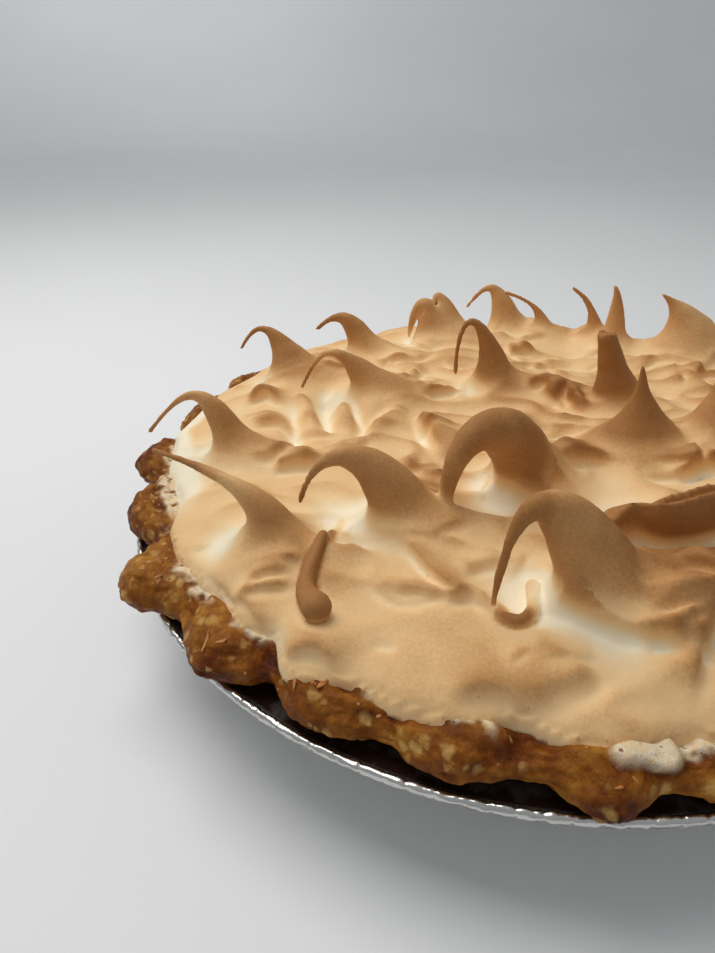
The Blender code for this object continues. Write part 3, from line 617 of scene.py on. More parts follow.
def peak_relief(x, y, peak):
    """Return how a peak shapes the surface: a mound at its foot, a hollow ahead and a tail behind."""
    lean = math.radians(peak.lean)
    ux, uy = math.cos(lean), math.sin(lean)
    ahead = 0.6 * max(peak.reach, 10)
    mound = bump(x, y, peak.x, peak.y, peak.width + 4)
    hollow = bump(x, y, peak.x + ahead * ux, peak.y + ahead * uy, 0.7 * ahead)
    tail = [(peak.x + s * ux, peak.y + s * uy) for s in (-TAIL_LENGTH, -0.45 * TAIL_LENGTH, 4)]
    relief = MOUND_SHARE * mound - HOLLOW_SHARE * hollow + fold_height(x, y, Fold(tail, TAIL_SHARE, 4, 6))
    return peak.height * relief


def surface_height(x, y):
    """Return the height of the spread meringue, without the pulled peaks themselves."""
    dome, fullness = dome_height(x, y)
    relief = swell(x, y) - SINK
    for peak in PEAKS:
        relief = relief + peak_relief(x, y, peak)
    for fold in ALL_FOLDS:
        relief = relief + FOLD_GAIN * fold_height(x, y, fold)
    for lump in LUMPS:
        relief = relief + lump.height * bump(x, y, lump.x, lump.y, lump.spread)
    for peak in PEAKS:
        relief = relief * (1 - FOOT_LEVELLING * bump(x, y, peak.x, peak.y, 0.9 * peak.width))
    return dome + relief * np.sqrt(fullness)


def peak_path(peak):
    """Return a peak's centres and its half-widths, in the plane it bends in and sideways."""
    lean = math.radians(peak.lean)
    ahead = np.array([math.cos(lean), math.sin(lean), 0.0])
    ground = float(dome_height(peak.x, peak.y)[0])
    reach, height, tip = peak.reach, peak.height, peak.tip
    if tip >= height:
        corners = [(0, 0), (0, 0.4 * height), (0.2 * reach, 0.8 * height), (reach, tip)]
    else:
        handle = (height - tip / 8) / 0.75
        corners = [(0, 0), (peak.back * reach, handle), (peak.front * reach, handle), (reach, tip)]
    t = np.linspace(0, 1, PEAK_RINGS)
    weights = np.stack([(1 - t) ** 3, 3 * t * (1 - t) ** 2, 3 * t * t * (1 - t), t**3], 1)
    along, rise = (weights @ np.array(corners, float)).T
    centres = np.array([peak.x, peak.y, ground]) + along[:, None] * ahead
    centres[:, 2] += rise - PEAK_ROOT_DEPTH * (1 - t) ** 6
    narrowing = (1 - t) ** peak.taper
    slim = peak.end * (1.5 - 0.5 * t)
    widths = slim + (peak.width - peak.end) * narrowing
    depths = slim + (PEAK_DEPTH_SHARE * peak.width - peak.end) * narrowing
    return centres, widths, depths


def peak_tube(peak):
    """Return a peak's centres, its two half-widths, fillet sizes and side direction."""
    lean = math.radians(peak.lean)
    fade = 1 - np.linspace(0, 1, PEAK_RINGS)
    side = np.array([-math.sin(lean), math.cos(lean), 0.0])
    return (*peak_path(peak), TIP_FILLET + ROOT_FILLET * fade**2, side)


def strand_tube(strand):
    """Return the tube of a strand that lies half sunk in the surface."""
    points = np.array(strand.points, float)
    knots = np.arange(len(points))
    places = np.linspace(0, len(points) - 1, PEAK_RINGS)
    path = np.stack([np.interp(places, knots, points[:, k]) for k in range(2)])
    for _ in range(STRAND_SMOOTHING):
        path[:, 1:-1] = (path[:, :-2] + path[:, 1:-1] + path[:, 2:]) / 3
    xs, ys = path
    share = np.linspace(0, 1, PEAK_RINGS)
    widths = strand.start + (strand.end - strand.start) * share**STRAND_TAPER
    lift = STRAND_LIFT * (2 * smoothstep(0, STRAND_SUNK_SHARE, share) - 1)
    centres = np.stack([xs, ys, surface_height(xs, ys) + lift * widths], 1)
    return centres, widths, widths, np.full(PEAK_RINGS, STRAND_FILLET), np.array([0.0, 0.0, 1.0])


def part_distance(x, y, z, tube, first, last):
    """Return the distance to the skin of some of a tube's segments, and the fillet size there."""
    centres, widths, depths, fillets, side = tube
    nearest = np.full(x.shape, np.inf)
    found = [np.zeros(x.shape) for _ in range(5)]
    for i in range(first, last):
        step = centres[i + 1] - centres[i]
        ox, oy, oz = x - centres[i, 0], y - centres[i, 1], z - centres[i, 2]
        share = np.clip((ox * step[0] + oy * step[1] + oz * step[2]) / (step @ step), 0, 1)
        ox, oy, oz = ox - share * step[0], oy - share * step[1], oz - share * step[2]
        away = ox * ox + oy * oy + oz * oz
        closer = away < nearest
        nearest = np.where(closer, away, nearest)
        sideways = (ox * side[0] + oy * side[1] + oz * side[2]) ** 2
        new = (
            np.maximum(away - sideways, 0),
            sideways,
            (widths[i] + share * (widths[i + 1] - widths[i])) ** 2,
            (depths[i] + share * (depths[i + 1] - depths[i])) ** 2,
            fillets[i] + share * (fillets[i + 1] - fillets[i]),
        )
        found = [np.where(closer, value, old) for value, old in zip(new, found)]
    inplane, sideways, wide, deep, fillet = found
    q = np.sqrt(inplane / wide + sideways / deep) + 1e-4
    return (q - 1) * q / (np.sqrt(inplane / wide**2 + sideways / deep**2) + 1e-4 / np.sqrt(wide)), fillet


def near_grid(axes, low, high):
    """Return the part of a grid between two corners, as slices, and the x, y and z of its points."""
    span = tuple(slice(*np.searchsorted(axis, ends)) for axis, ends in zip(axes, zip(low, high)))
    return span, np.meshgrid(*(axis[part] for axis, part in zip(axes, span)), indexing="ij")


def add_tube(field, axes, tube):
    """Blend a tapered elliptical tube into the field; a bent one's root and tip each on their own."""
    centres, widths = tube[:2]
    margin = widths.max() + TUBE_MARGIN
    span, (x, y, z) = near_grid(axes, centres.min(0) - margin, centres.max(0) + margin)
    count = len(centres) - 1
    bent = centres[-1, 2] < centres[:, 2].max() - 0.5
    if bent:
        root, fillet = part_distance(x, y, z, tube, 0, round(ROOT_PART_END * count))
        tip, tip_fillet = part_distance(x, y, z, tube, round(TIP_PART_START * count), count)
        fillet = np.where(tip < root, tip_fillet, fillet)
        nearest = np.minimum(root, tip)
    else:
        nearest, fillet = part_distance(x, y, z, tube, 0, count)
    ground = field[span]
    overlap = np.clip(1 - np.abs(ground - nearest) / fillet, 0, 1)
    field[span] = np.minimum(ground, nearest) - overlap**2 * fillet / 4


def ridges(x, y):
    """Return the broken crests that a spoon leaves, mostly across the view, with two smoother places."""
    place = np.stack([0.55 * x + 0.2 * y, y - 0.15 * x, 0 * x], -1)
    place = place + 6 * noise(place, 19, 71)[..., None]
    crest = (1 - np.minimum(np.abs(noise(place, RIDGE_SIZE, 72)), 1)) ** 3
    calm = np.maximum(bump(x, y, -14, -98, 28), bump(x, y, -63, -10, 24))
    return RIDGE_HEIGHT * (crest - 0.45) * (1 - 0.9 * calm)


def meringue_field():
    """Return a grid of numbers that are negative inside the meringue."""
    flat = np.arange(-GRID_HALF, GRID_HALF + PITCH, PITCH)
    axes = (flat, flat, np.arange(GRID_BOTTOM, GRID_TOP + PITCH, PITCH))
    x, y = np.meshgrid(flat, flat, indexing="ij")
    over = np.maximum(np.hypot(x, y) - edge_radius(np.degrees(np.arctan2(-x, -y))), 0)
    dome, fullness = dome_height(x, y)
    height = surface_height(x, y) + ridges(x, y) * fullness - EDGE_DROP * over
    slope_x, slope_y = np.gradient(height, PITCH)
    steepness = np.sqrt(1 + np.minimum(slope_x**2 + slope_y**2, 12))
    field = np.empty(height.shape + (len(axes[2]),))
    for k, level in enumerate(axes[2]):
        shift = OVERHANG * np.clip(level - dome, -1.5, 5) * (over == 0)
        place_x = np.clip((x - OVERHANG_X * shift + GRID_HALF) / PITCH, 0, len(flat) - 1.001)
        place_y = np.clip((y - OVERHANG_Y * shift + GRID_HALF) / PITCH, 0, len(flat) - 1.001)
        field[:, :, k] = (level - bilinear(height, place_x, place_y)) / steepness
    for peak in PEAKS:
        add_tube(field, axes, peak_tube(peak))
    for strand in STRANDS:
        add_tube(field, axes, strand_tube(strand))
    tear_top(field, axes, SEEN_PEAKS[TORN_PEAK])
    return field


def tear_top(field, axes, peak):
    """Cut a peak's top off with a jagged, nearly level tear."""
    tip = peak_tube(peak)[0][-1]
    span, (x, y, z) = near_grid(axes, tip - TEAR_REACH, tip + TEAR_REACH)
    jagged = TEAR_DEPTH * noise(np.stack([x, y, 0 * z], -1), 2.2, 41)
    field[span] = np.maximum(field[span], z - tip[2] - TEAR_RISE - jagged)


def bilinear(table, place_x, place_y):
    """Return a table's values between its entries."""
    i, j = place_x.astype(int), place_y.astype(int)
    u, v = place_x - i, place_y - j
    near = table[i, j] * (1 - u) + table[i + 1, j] * u
    far = table[i, j + 1] * (1 - u) + table[i + 1, j + 1] * u
    return near * (1 - v) + far * v


def open_edge(quads):
    """Return the vertices around the one opening of a mesh, in order."""
    forward = {}
    sides = np.concatenate([np.stack([quads[:, k], quads[:, (k + 1) % 4]], 1) for k in range(4)])
    pairs = {tuple(pair) for pair in sides.tolist()}
    for a, b in pairs:
        if (b, a) not in pairs:
            forward[b] = a
    first = next(iter(forward))
    loop = [first]
    while forward[loop[-1]] != first:
        loop.append(forward[loop[-1]])
    return loop


def crowding(field, sizes):
    """Return, for each size in millimetres, how full of meringue the space within about that size is."""
    filled = np.clip(0.5 - field / PITCH, 0, 1)
    below = np.repeat(filled[:, :, :1], CROWDING_PAD, axis=2)
    padded = np.concatenate([below, filled, np.zeros(filled.shape[:2] + (CROWDING_PAD,))], 2)
    spectrum = np.fft.rfftn(padded)
    made = []
    for size in sizes:
        spread = spectrum.copy()
        for axis in range(3):
            count = padded.shape[axis]
            steps = np.fft.rfftfreq(count, PITCH) if axis == 2 else np.fft.fftfreq(count, PITCH)
            window = np.exp(-2 * (np.pi * size * steps) ** 2)
            spread *= window.reshape([-1 if k == axis else 1 for k in range(3)])
        made.append(np.fft.irfftn(spread, padded.shape)[:, :, CROWDING_PAD:-CROWDING_PAD])
    return made


def sampled(volume, points):
    """Return a grid's values at points in millimetres."""
    place = (points - np.array([-GRID_HALF, -GRID_HALF, GRID_BOTTOM])) / PITCH
    place = np.clip(place, 0, np.array(volume.shape) - 1.001)
    base = place.astype(int)
    part = place - base
    total = np.zeros(len(points))
    for corner in np.ndindex(2, 2, 2):
        weight = np.prod(np.where(corner, part, 1 - part), -1)
        total += weight * volume[tuple((base + corner).T)]
    return total


def on_strand(points, strand):
    """Return 1 for points on a strand's skin and 0 for points away from it."""
    centres, widths = strand_tube(strand)[:2]
    nearest = np.full(len(points), np.inf)
    for centre, width in zip(centres, widths):
        nearest = np.minimum(nearest, np.linalg.norm(points - centre, axis=1) - width)
    return 1 - smoothstep(0.3, 1.2, nearest)


def toasting(field, points, normals):
    """Return how brown each point is: crests catch the heat, and places under an arch stay pale."""
    x, y, z = points.T
    close, wide = crowding(field, (CLOSE_SIZE, WIDE_SIZE))
    crest = sampled(close, points + 1.6 * normals) - CLOSE_FLAT_SHARE
    shelter = sampled(wide, points + SHELTER_AHEAD)
    above = z - dome_height(x, y)[0]
    lifted = smoothstep(-5, 6, above)
    toast = OPEN_TOAST - CREST_TOAST * crest - SHELTER_TOAST * shelter * (1 - lifted) + HIGH_TOAST * lifted
    toast = toast - FAR_TOAST * lifted * smoothstep(30, 80, y)
    toast = toast + 0.09 * noise(points, 19, 3) + 0.05 * noise(points, 6, 5)
    for patch in PALE:
        toast = toast - patch.height * bump(x, y, patch.x, patch.y, patch.spread)
    for strand in STRANDS:
        toast = toast + STRAND_TOAST * on_strand(points, strand)
    bearing = np.degrees(np.arctan2(-x, -y))
    side = smoothstep(52, 64, bearing) * (1 - smoothstep(84, 96, bearing))
    rim = smoothstep(-9, -2, np.hypot(x, y) - edge_radius(bearing) + 2.5 * noise(points, 8, 9))
    return np.clip(toast - RIM_TOAST * side * rim * (1 - smoothstep(1, 4, above)), 0, 1)


def build_meringue():
    """Toasted meringue: the spread body with every peak, fold and strand in one skin."""
    field = meringue_field()
    points, quads = surface_net(field)
    points = relax(points * PITCH + np.array([-GRID_HALF, -GRID_HALF, GRID_BOTTOM]), quads, 2)
    normals = quad_normals(points, quads)
    loop = open_edge(quads)
    toast = toasting(field, points, normals)
    uneven = 0.22 * noise(points, 7, 31) + 0.10 * noise(points, 2.6, 32)
    points = points + (uneven * smoothstep(GRID_BOTTOM, GRID_BOTTOM + 3, points[:, 2]))[:, None] * normals
    points[loop, 2] = GRID_BOTTOM
    obj = add_piece("meringue_skin", points, quads.tolist() + [loop], meringue_material())
    set_attribute(obj, "toast", toast)
    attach(obj, "root")
    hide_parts("meringue")


# Crust
def crust_lobes():
    """Return every lobe of the rim in order: the seen ones, then the rest spaced by a seeded rule."""
    rng = random.Random(11)
    lobes = list(SEEN_LOBES)
    first = SEEN_LOBES[0].bearing - 360
    last = SEEN_LOBES[-1].bearing
    step = (last - first) / (UNSEEN_LOBES + 1)
    for i in range(1, UNSEEN_LOBES + 1):
        bearing = last - step * (i + rng.uniform(-0.12, 0.12))
        lobes.append(Lobe(bearing, rng.uniform(120, 125), rng.uniform(114.5, 118), rng.uniform(0.7, 1.5)))
    return lobes


def rim_outline(bearings):
    """Return the rim's outer radius and the lobe share at each bearing."""
    lobes = crust_lobes()
    radii = np.zeros(len(bearings))
    shares = np.zeros(len(bearings))
    for i, lobe in enumerate(lobes):
        after = lobes[(i + 1) % len(lobes)]
        before = lobes[i - 1]
        away = (lobe.bearing - bearings + 180) % 360 - 180
        for side, span, dip in ((1, (lobe.bearing - after.bearing) % 360, lobe.dip),
                                (-1, (before.bearing - lobe.bearing) % 360, before.dip)):
            mine = (side * away >= 0) & (side * away <= span / 2)
            share = np.cos(np.pi * np.abs(away) / span)
            share = np.maximum(share, 0) ** (2 * lobe.slimness)
            radii = np.where(mine, dip + (lobe.tip - dip) * share, radii)
            shares = np.where(mine, share, shares)
    return radii, shares


def crust_rows():
    """Return the crust's outer sheet, from its floor to the filling, as rows of points around the pie."""
    bearings = np.arange(CRUST_STEPS) * 360 / CRUST_STEPS
    outer, share = rim_outline(bearings)
    wall = TIN_WALL_TOP_RADIUS - CRUST_CLEARANCE
    profile = [
        (TIN_BASE_RADIUS - CRUST_CLEARANCE, CRUST_FLOOR),
        (wall, TIN_WALL_TOP_HEIGHT),
        (wall + FLANGE_STEP, LIP_UNDERSIDE_HEIGHT),
        (outer - TUCK_INSET, LIP_UNDERSIDE_HEIGHT),
        (outer - BELLY_INSET, LIP_UNDERSIDE_HEIGHT + BELLY_RISE),
        (outer, LIP_TIP_HEIGHT),
        (outer - SHOULDER_INSET, LIP_TIP_HEIGHT + SHOULDER_RISE + LOBE_SHOULDER_RISE * share),
        (outer - CREST_INSET, LIP_CREST_HEIGHT + LOBE_CREST_RISE * share),
        (LIP_INNER_RADIUS + INNER_SLOPE, LIP_CREST_HEIGHT - INNER_DROP),
        (LIP_INNER_RADIUS, FILLING_HEIGHT),
    ]
    return smooth_rows(ring_rows(profile, bearings), ROW_STEPS)


def smears(bearings, points):
    """Return how thickly dried meringue is smeared on the crust at each point, from 0 to 1."""
    radius = np.hypot(points[:, 0], points[:, 1])
    thick = np.zeros(len(points))
    for bearing, half, reach in SMEARS:
        away = np.abs((bearings - bearing + 180) % 360 - 180) / half
        outline = reach + 2.6 * noise(points, 6, 51) + 1.3 * noise(points, 1.8, 52) - radius
        thick = np.maximum(thick, smoothstep(-0.8, 1.6, outline) * (1 - smoothstep(0.6, 1.1, away)))
    holes = smoothstep(0.05, 0.55, noise(points, 1.9, 53) + 0.3 * noise(points, 5, 54))
    return thick * (1 - holes) * (points[:, 2] > LIP_TIP_HEIGHT)


def build_crust():
    """Baked crust: the rolled, fluted rim with its layers and smears, closed over the filling."""
    rows = crust_rows()
    count = len(rows)
    points = rows.reshape(-1, 3)
    quads = grid_faces(count, CRUST_STEPS)[:, ::-1]
    normals = quad_normals(points, quads)
    bearings = np.tile(np.arange(CRUST_STEPS) * 360 / CRUST_STEPS, count)
    radius = np.hypot(points[:, 0], points[:, 1])
    _, share = rim_outline(bearings)
    shown = smoothstep(29.5, 32, points[:, 2])
    inner = smoothstep(119, 112, radius) * smoothstep(36, 39, points[:, 2])
    turned = np.stack([np.sin(np.radians(bearings)) * 40, np.cos(np.radians(bearings)) * 40, radius], 1)
    layers = np.tanh(4 * noise(turned * [1, 1, 2.2] + 1.5 * noise(points, 6, 14)[:, None], 5, 15))
    flakes = np.tanh(5 * noise(points * [0.5, 0.5, 1.4], 2.4, 8))
    lift = 0.85 * noise(points, 9, 1) + 0.5 * noise(points, 4, 2) + 0.32 * noise(points, 1.7, 4)
    lift = lift + 0.5 * inner * layers + 0.22 * flakes - 0.9 * np.exp(-((share / 0.10) ** 2))
    smear = smears(bearings, points)
    away = ((bearings - DRIP.bearing + 180) % 360 - 180) * math.radians(1) * DRIP.radius
    off = (away / DRIP.length) ** 2 + ((radius - DRIP.radius) / DRIP.width) ** 2
    drip = 1 - smoothstep(0.4, 1.1, off - 0.6 * noise(points, 4, 61))
    drip = drip * (points[:, 2] > LIP_TIP_HEIGHT)
    calm = 1 - 0.8 * drip
    raised = calm * lift - CRUST_SINK + SMEAR_THICKNESS * smear + DRIP.height * drip
    points = points + (shown * raised)[:, None] * normals
    middle = np.array([[0, 0, FILLING_HEIGHT], [0, 0, CRUST_FLOOR]])
    top, bottom = len(points), len(points) + 1
    last = (count - 1) * CRUST_STEPS
    around = [(a, (a + 1) % CRUST_STEPS) for a in range(CRUST_STEPS)]
    faces = quads.tolist()
    faces += [[top, last + b, last + a] for a, b in around]
    faces += [[bottom, a, b] for a, b in around]
    obj = add_piece("crust_rim", np.concatenate([points, middle]), faces, crust_material())
    bake = 0.48 + 0.28 * noise(points, 14, 6) + 0.18 * noise(points, 5, 7) + 0.12 * inner - 0.1 * lift
    for bearing, amount in DARK_LOBES:
        away = (bearings - bearing + 180) % 360 - 180
        bake = bake + amount * np.exp(-((away / 5) ** 2)) * smoothstep(114, 121, radius)
    pad = [0.0, 0.0]
    set_attribute(obj, "bake", np.concatenate([bake, pad]))
    set_attribute(obj, "smear", np.concatenate([np.maximum(smear, drip), pad]))
    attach(obj, "root")
    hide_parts("crust")
    return obj


def add_chip(shapes, place, normal, size, slimness, turn, seed):
    """Add a thin, curled, ragged flake of pastry that lies on a surface."""
    points, faces = shapes
    across = np.cross(normal, [math.cos(turn), math.sin(turn), 0.3])
    across /= np.linalg.norm(across)
    along = np.cross(across, normal)
    turns = np.arange(CHIP_SIDES) * 2 * math.pi / CHIP_SIDES
    circle = np.stack([2 * np.cos(turns), 2 * np.sin(turns), turns * 0 + seed], 1)
    ragged = 1 + 0.45 * noise(circle, 1.3, 17)
    flat = np.cos(turns)[:, None] * along * size * ragged[:, None]
    flat = flat + np.sin(turns)[:, None] * across * size * slimness * ragged[:, None]
    curl = 0.3 * size * np.maximum(np.cos(turns), 0) ** 2
    first = len(points)
    for lift, share in ((-0.4, 0.7), (0.0, 1.0), (0.12, 0.85)):
        points.extend(place + share * flat + (lift + curl)[:, None] * normal)
    points.extend([place - 0.5 * normal, place + 0.1 * normal])
    for k in range(CHIP_SIDES):
        j = (k + 1) % CHIP_SIDES
        for ring in (first, first + CHIP_SIDES):
            faces.append([ring + k, ring + j, ring + CHIP_SIDES + j, ring + CHIP_SIDES + k])
        faces.append([first + j, first + k, len(points) - 2])
        faces.append([first + 2 * CHIP_SIDES + k, first + 2 * CHIP_SIDES + j, len(points) - 1])


def build_flakes(crust):
    """Loose flakes and crumbs of pastry that stick to the rim."""
    tree = BVHTree.FromObject(crust, bpy.context.evaluated_depsgraph_get())
    rng = random.Random(23)
    chips = list(CHIPS)
    for _ in range(CRUMBS):
        size = rng.uniform(0.25, 0.6)
        slimness, turn = rng.uniform(0.4, 0.9), rng.uniform(0, 180)
        chips.append((rng.uniform(-180, 180), rng.uniform(111, 120), size, slimness, turn))
    shapes = ([], [])
    for number, (bearing, radius, size, slimness, turn) in enumerate(chips):
        x, y = on_bearing(radius, bearing)
        place, normal, _, _ = tree.ray_cast((x * MM, y * MM, 0.1), (0, 0, -1))
        if place:
            place = np.array(place) / MM
            add_chip(shapes, place, np.array(normal), size, slimness, math.radians(turn), number)
    obj = add_piece("crust_flakes", np.array(shapes[0]), shapes[1], flake_material())
    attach(obj, "root")


# Foil tin
def build_tin():
    """Pressed foil tin: fine flutes in the wall, a flat flange and a crimped, rolled bead."""
    bearings = np.arange(TIN_STEPS) * 360 / TIN_STEPS
    wave = np.sin(np.radians(bearings) * FLUTES)
    wall = FOIL_THICKNESS
    corner = TIN_BASE_RADIUS + TIN_BASE_ROUNDING
    outside = [(1.0, 0.0, 0.0), (TIN_BASE_RADIUS, 0.0, 0.0), (corner, TIN_BASE_ROUNDING, 0.6)]
    for share in np.arange(1, WALL_STEPS + 1) / WALL_STEPS:
        height = TIN_BASE_ROUNDING + share * (TIN_WALL_TOP_HEIGHT - TIN_BASE_ROUNDING)
        outside.append((corner + share * (TIN_WALL_TOP_RADIUS - corner), height, 1.0))
    outside.append((FLANGE_INNER_RADIUS, FLANGE_INNER_HEIGHT, 0.35))
    bead = []
    for side in range(BEAD_STEPS + 1):
        turn = math.radians(BEAD_ARC * (side / BEAD_STEPS - 0.5))
        radius = TIN_RIM_RADIUS - BEAD_RADIUS + BEAD_RADIUS * math.cos(turn)
        bead.append((radius, TIN_RIM_HEIGHT + BEAD_RADIUS * math.sin(turn), 0.0))
    level = FLANGE_INNER_HEIGHT + wall
    flange = [(radius, level + above, share) for radius, above, share in FLANGE_ROWS]
    inside = [(radius - wall, height + wall, share) for radius, height, share in reversed(outside)]
    inside[-1] = (1.0, wall, 0.0)
    profile = outside + bead + flange + inside
    fluted = [(radius + FLUTE_DEPTH * share * wave, height) for radius, height, share in profile]
    rows = ring_rows(fluted, bearings)
    points = rows.reshape(-1, 3)
    quads = grid_faces(len(rows), TIN_STEPS)[:, ::-1]
    normals = quad_normals(points, quads)
    rolled = smoothstep(116, 118.4, np.hypot(points[:, 0], points[:, 1])) * (points[:, 2] > level + 0.2)
    around = np.tile(np.radians(bearings) * TIN_RIM_RADIUS, len(rows))
    along = np.stack([around, points[:, 2] * 2, points[:, 0] * 0], 1)
    crimp = noise(along, 3.1, 12) + 0.6 * noise(along, 1.3, 13)
    pinch = np.exp(-(((around / 5.2 + 0.25 * noise(along, 9, 14)) % 1 - 0.5) / 0.06) ** 2)
    points = points + (rolled * (0.3 * crimp - 0.14 - 0.4 * pinch))[:, None] * normals
    obj = add_piece("tin_foil", points, quads.tolist(), foil_material())
    radius = np.hypot(points[:, 0], points[:, 1])
    # Marks the flange band for the dark paint: partly baked-on stains, partly painted shade under the crust
    # and a painted reflection of its dark underside.
    stain_and_shade = smoothstep(STAIN_AND_SHADE_FROM - 1.5, STAIN_AND_SHADE_FROM + 1.5, radius)
    stain_and_shade = stain_and_shade * (1 - smoothstep(STAIN_AND_SHADE_TO - 0.4, STAIN_AND_SHADE_TO + 0.4, radius))
    set_attribute(obj, "stain_and_shade", stain_and_shade * (points[:, 2] > FLANGE_INNER_HEIGHT))
    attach(obj, "root")
    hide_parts("foil_tin")


# Materials
def new_material(name):
    """Return a node material and its Principled shader."""
    mat = bpy.data.materials.new(name)
    mat.use_nodes = True
    return mat, mat.node_tree.nodes["Principled BSDF"]


def feed(mat, socket, value):
    """Link a socket to another socket, or set it to a plain value."""
    if isinstance(value, bpy.types.NodeSocket):
        mat.node_tree.links.new(value, socket)
    else:
        socket.default_value = value


def node(mat, kind, inputs, **settings):
    """Add a node with its settings and feed its inputs, given by name or by place."""
    made = mat.node_tree.nodes.new(kind)
    for name, value in settings.items():
        setattr(made, name, value)
    for name, value in inputs.items():
        feed(mat, made.inputs[name], value)
    return made


def ramp(mat, factor, stops):
    """Add a colour ramp with (place, colour) stops and return its colour."""
    made = node(mat, "ShaderNodeValToRGB", {"Fac": factor})
    elements = made.color_ramp.elements
    while len(elements) < len(stops):
        elements.new(0.5)
    for element, (place, colour) in zip(elements, stops):
        element.position = place
        element.color = colour
    return made.outputs["Color"]


def blend_colour(mat, factor, first, second):
    """Mix two colours by a factor."""
    return node(mat, "ShaderNodeMix", {0: factor, 6: first, 7: second}, data_type="RGBA").outputs[2]


def calc(mat, operation, first, second=0.0, third=0.0):
    """Add a math node and return its value."""
    return node(mat, "ShaderNodeMath", {0: first, 1: second, 2: third}, operation=operation).outputs[0]


def grain(mat, size, detail=3.0, roughness=0.55):
    """Add noise with lumps of a size in millimetres and return its value."""
    place = node(mat, "ShaderNodeTexCoord", {}).outputs["Object"]
    made = node(mat, "ShaderNodeTexNoise",
                {"Vector": place, "Scale": 1 / (size * MM), "Detail": detail, "Roughness": roughness})
    return made.outputs["Fac"]


def attribute(mat, name):
    """Return a piece's own number at each point."""
    return node(mat, "ShaderNodeAttribute", {}, attribute_name=name).outputs["Fac"]


def link(mat, shader, sockets):
    """Set or link the shader's own sockets."""
    for name, value in sockets.items():
        feed(mat, shader.inputs[name], value)


def surface_bump(mat, height, depth, strength=1.0):
    """Return a bumped normal from a height that is worth `depth` millimetres at 1."""
    made = node(mat, "ShaderNodeBump", {"Strength": strength, "Distance": depth * MM, "Height": height})
    return made.outputs["Normal"]


def flecks(mat, size, wobble, share):
    """Return a mask of uneven flecks, each in a cell of `size` millimetres, in a share of the cells."""
    place = node(mat, "ShaderNodeTexCoord", {}).outputs["Object"]
    bend = node(mat, "ShaderNodeTexNoise", {"Vector": place, "Scale": 1 / (0.6 * size * MM), "Detail": 2.0})
    scaled = node(mat, "ShaderNodeVectorMath", {0: bend.outputs["Color"], "Scale": wobble * size * MM},
                  operation="SCALE")
    moved = node(mat, "ShaderNodeVectorMath", {0: place, 1: scaled.outputs[0]}, operation="ADD")
    cells = node(mat, "ShaderNodeTexVoronoi", {"Vector": moved.outputs[0], "Scale": 1 / (size * MM)})
    chosen = calc(mat, "LESS_THAN", cells.outputs["Color"], share)
    shape = ramp(mat, cells.outputs["Distance"], [(0.20, (1, 1, 1, 1)), (0.40, (0, 0, 0, 1))])
    return calc(mat, "MULTIPLY", shape, chosen)


def mottled(mat, name, size, detail, roughness, amount):
    """Return a piece's own number at each point, made uneven by fine noise up or down."""
    speckle = calc(mat, "MULTIPLY_ADD", grain(mat, size, detail, roughness), 2 * amount, -amount)
    return calc(mat, "ADD", attribute(mat, name), speckle)


def meringue_material():
    """Toasted meringue: white where it is sheltered, tan on the open surface, brown on peaks and crests."""
    mat, shader = new_material("toasted_meringue")
    colour = ramp(mat, mottled(mat, "toast", 0.8, 5.0, 0.65, 0.13), [
        (0.0, srgb(248, 236, 208)),
        (0.2, srgb(245, 222, 181)),
        (0.4, srgb(240, 206, 155)),
        (0.6, srgb(232, 190, 135)),
        (0.8, srgb(200, 150, 94)),
        (1.0, srgb(164, 112, 60)),
    ])
    specks = calc(mat, "MULTIPLY", flecks(mat, 0.8, 0.4, 0.07), 0.4)
    colour = blend_colour(mat, specks, colour, srgb(128, 84, 44))
    link(mat, shader, {
        "Base Color": colour,
        "Roughness": 0.66,
        "Specular IOR Level": 0.3,
        "Subsurface Weight": 0.12,
        "Subsurface Radius": (1.0, 0.55, 0.3),
        "Subsurface Scale": 1.6 * MM,
        "Normal": surface_bump(mat, grain(mat, 1.1, 5.0, 0.6), 0.14, 0.7),
    })
    return mat


def crust_material():
    """Baked pastry: golden brown with pale flecks, darker patches and smears of dried meringue."""
    mat, shader = new_material("baked_pastry")
    colour = ramp(mat, mottled(mat, "bake", 2.6, 6.0, 0.65, 0.45), [
        (0.0, srgb(196, 144, 62)),
        (0.3, srgb(164, 108, 32)),
        (0.55, srgb(134, 76, 12)),
        (0.8, srgb(102, 46, 2)),
        (1.0, srgb(66, 26, 0)),
    ])
    pale = calc(mat, "MAXIMUM", flecks(mat, 4.4, 0.7, 0.55), flecks(mat, 2.3, 0.6, 0.3))
    patchy = ramp(mat, grain(mat, 9.0, 2.0), [(0.35, (0.1, 0.1, 0.1, 1)), (0.6, (0.62, 0.62, 0.62, 1))])
    colour = blend_colour(mat, calc(mat, "MULTIPLY", pale, patchy), colour, srgb(216, 176, 104))
    cream = ramp(mat, grain(mat, 1.8, 4.0), [
        (0.30, srgb(150, 108, 66)), (0.38, srgb(238, 222, 194)), (0.65, srgb(236, 208, 162))])
    colour = blend_colour(mat, attribute(mat, "smear"), colour, cream)
    bumps = calc(mat, "ADD", grain(mat, 1.0, 5.0, 0.62), calc(mat, "MULTIPLY", grain(mat, 3.4, 3.0), 1.5))
    link(mat, shader, {
        "Base Color": colour,
        "Roughness": calc(mat, "MULTIPLY_ADD", grain(mat, 3.0, 2.0), 0.35, 0.28),
        "Specular IOR Level": 0.16,
        "Subsurface Weight": 0.06,
        "Subsurface Radius": (1.0, 0.4, 0.15),
        "Subsurface Scale": 1.2 * MM,
        "Normal": surface_bump(mat, bumps, 0.5, 0.9),
    })
    return mat


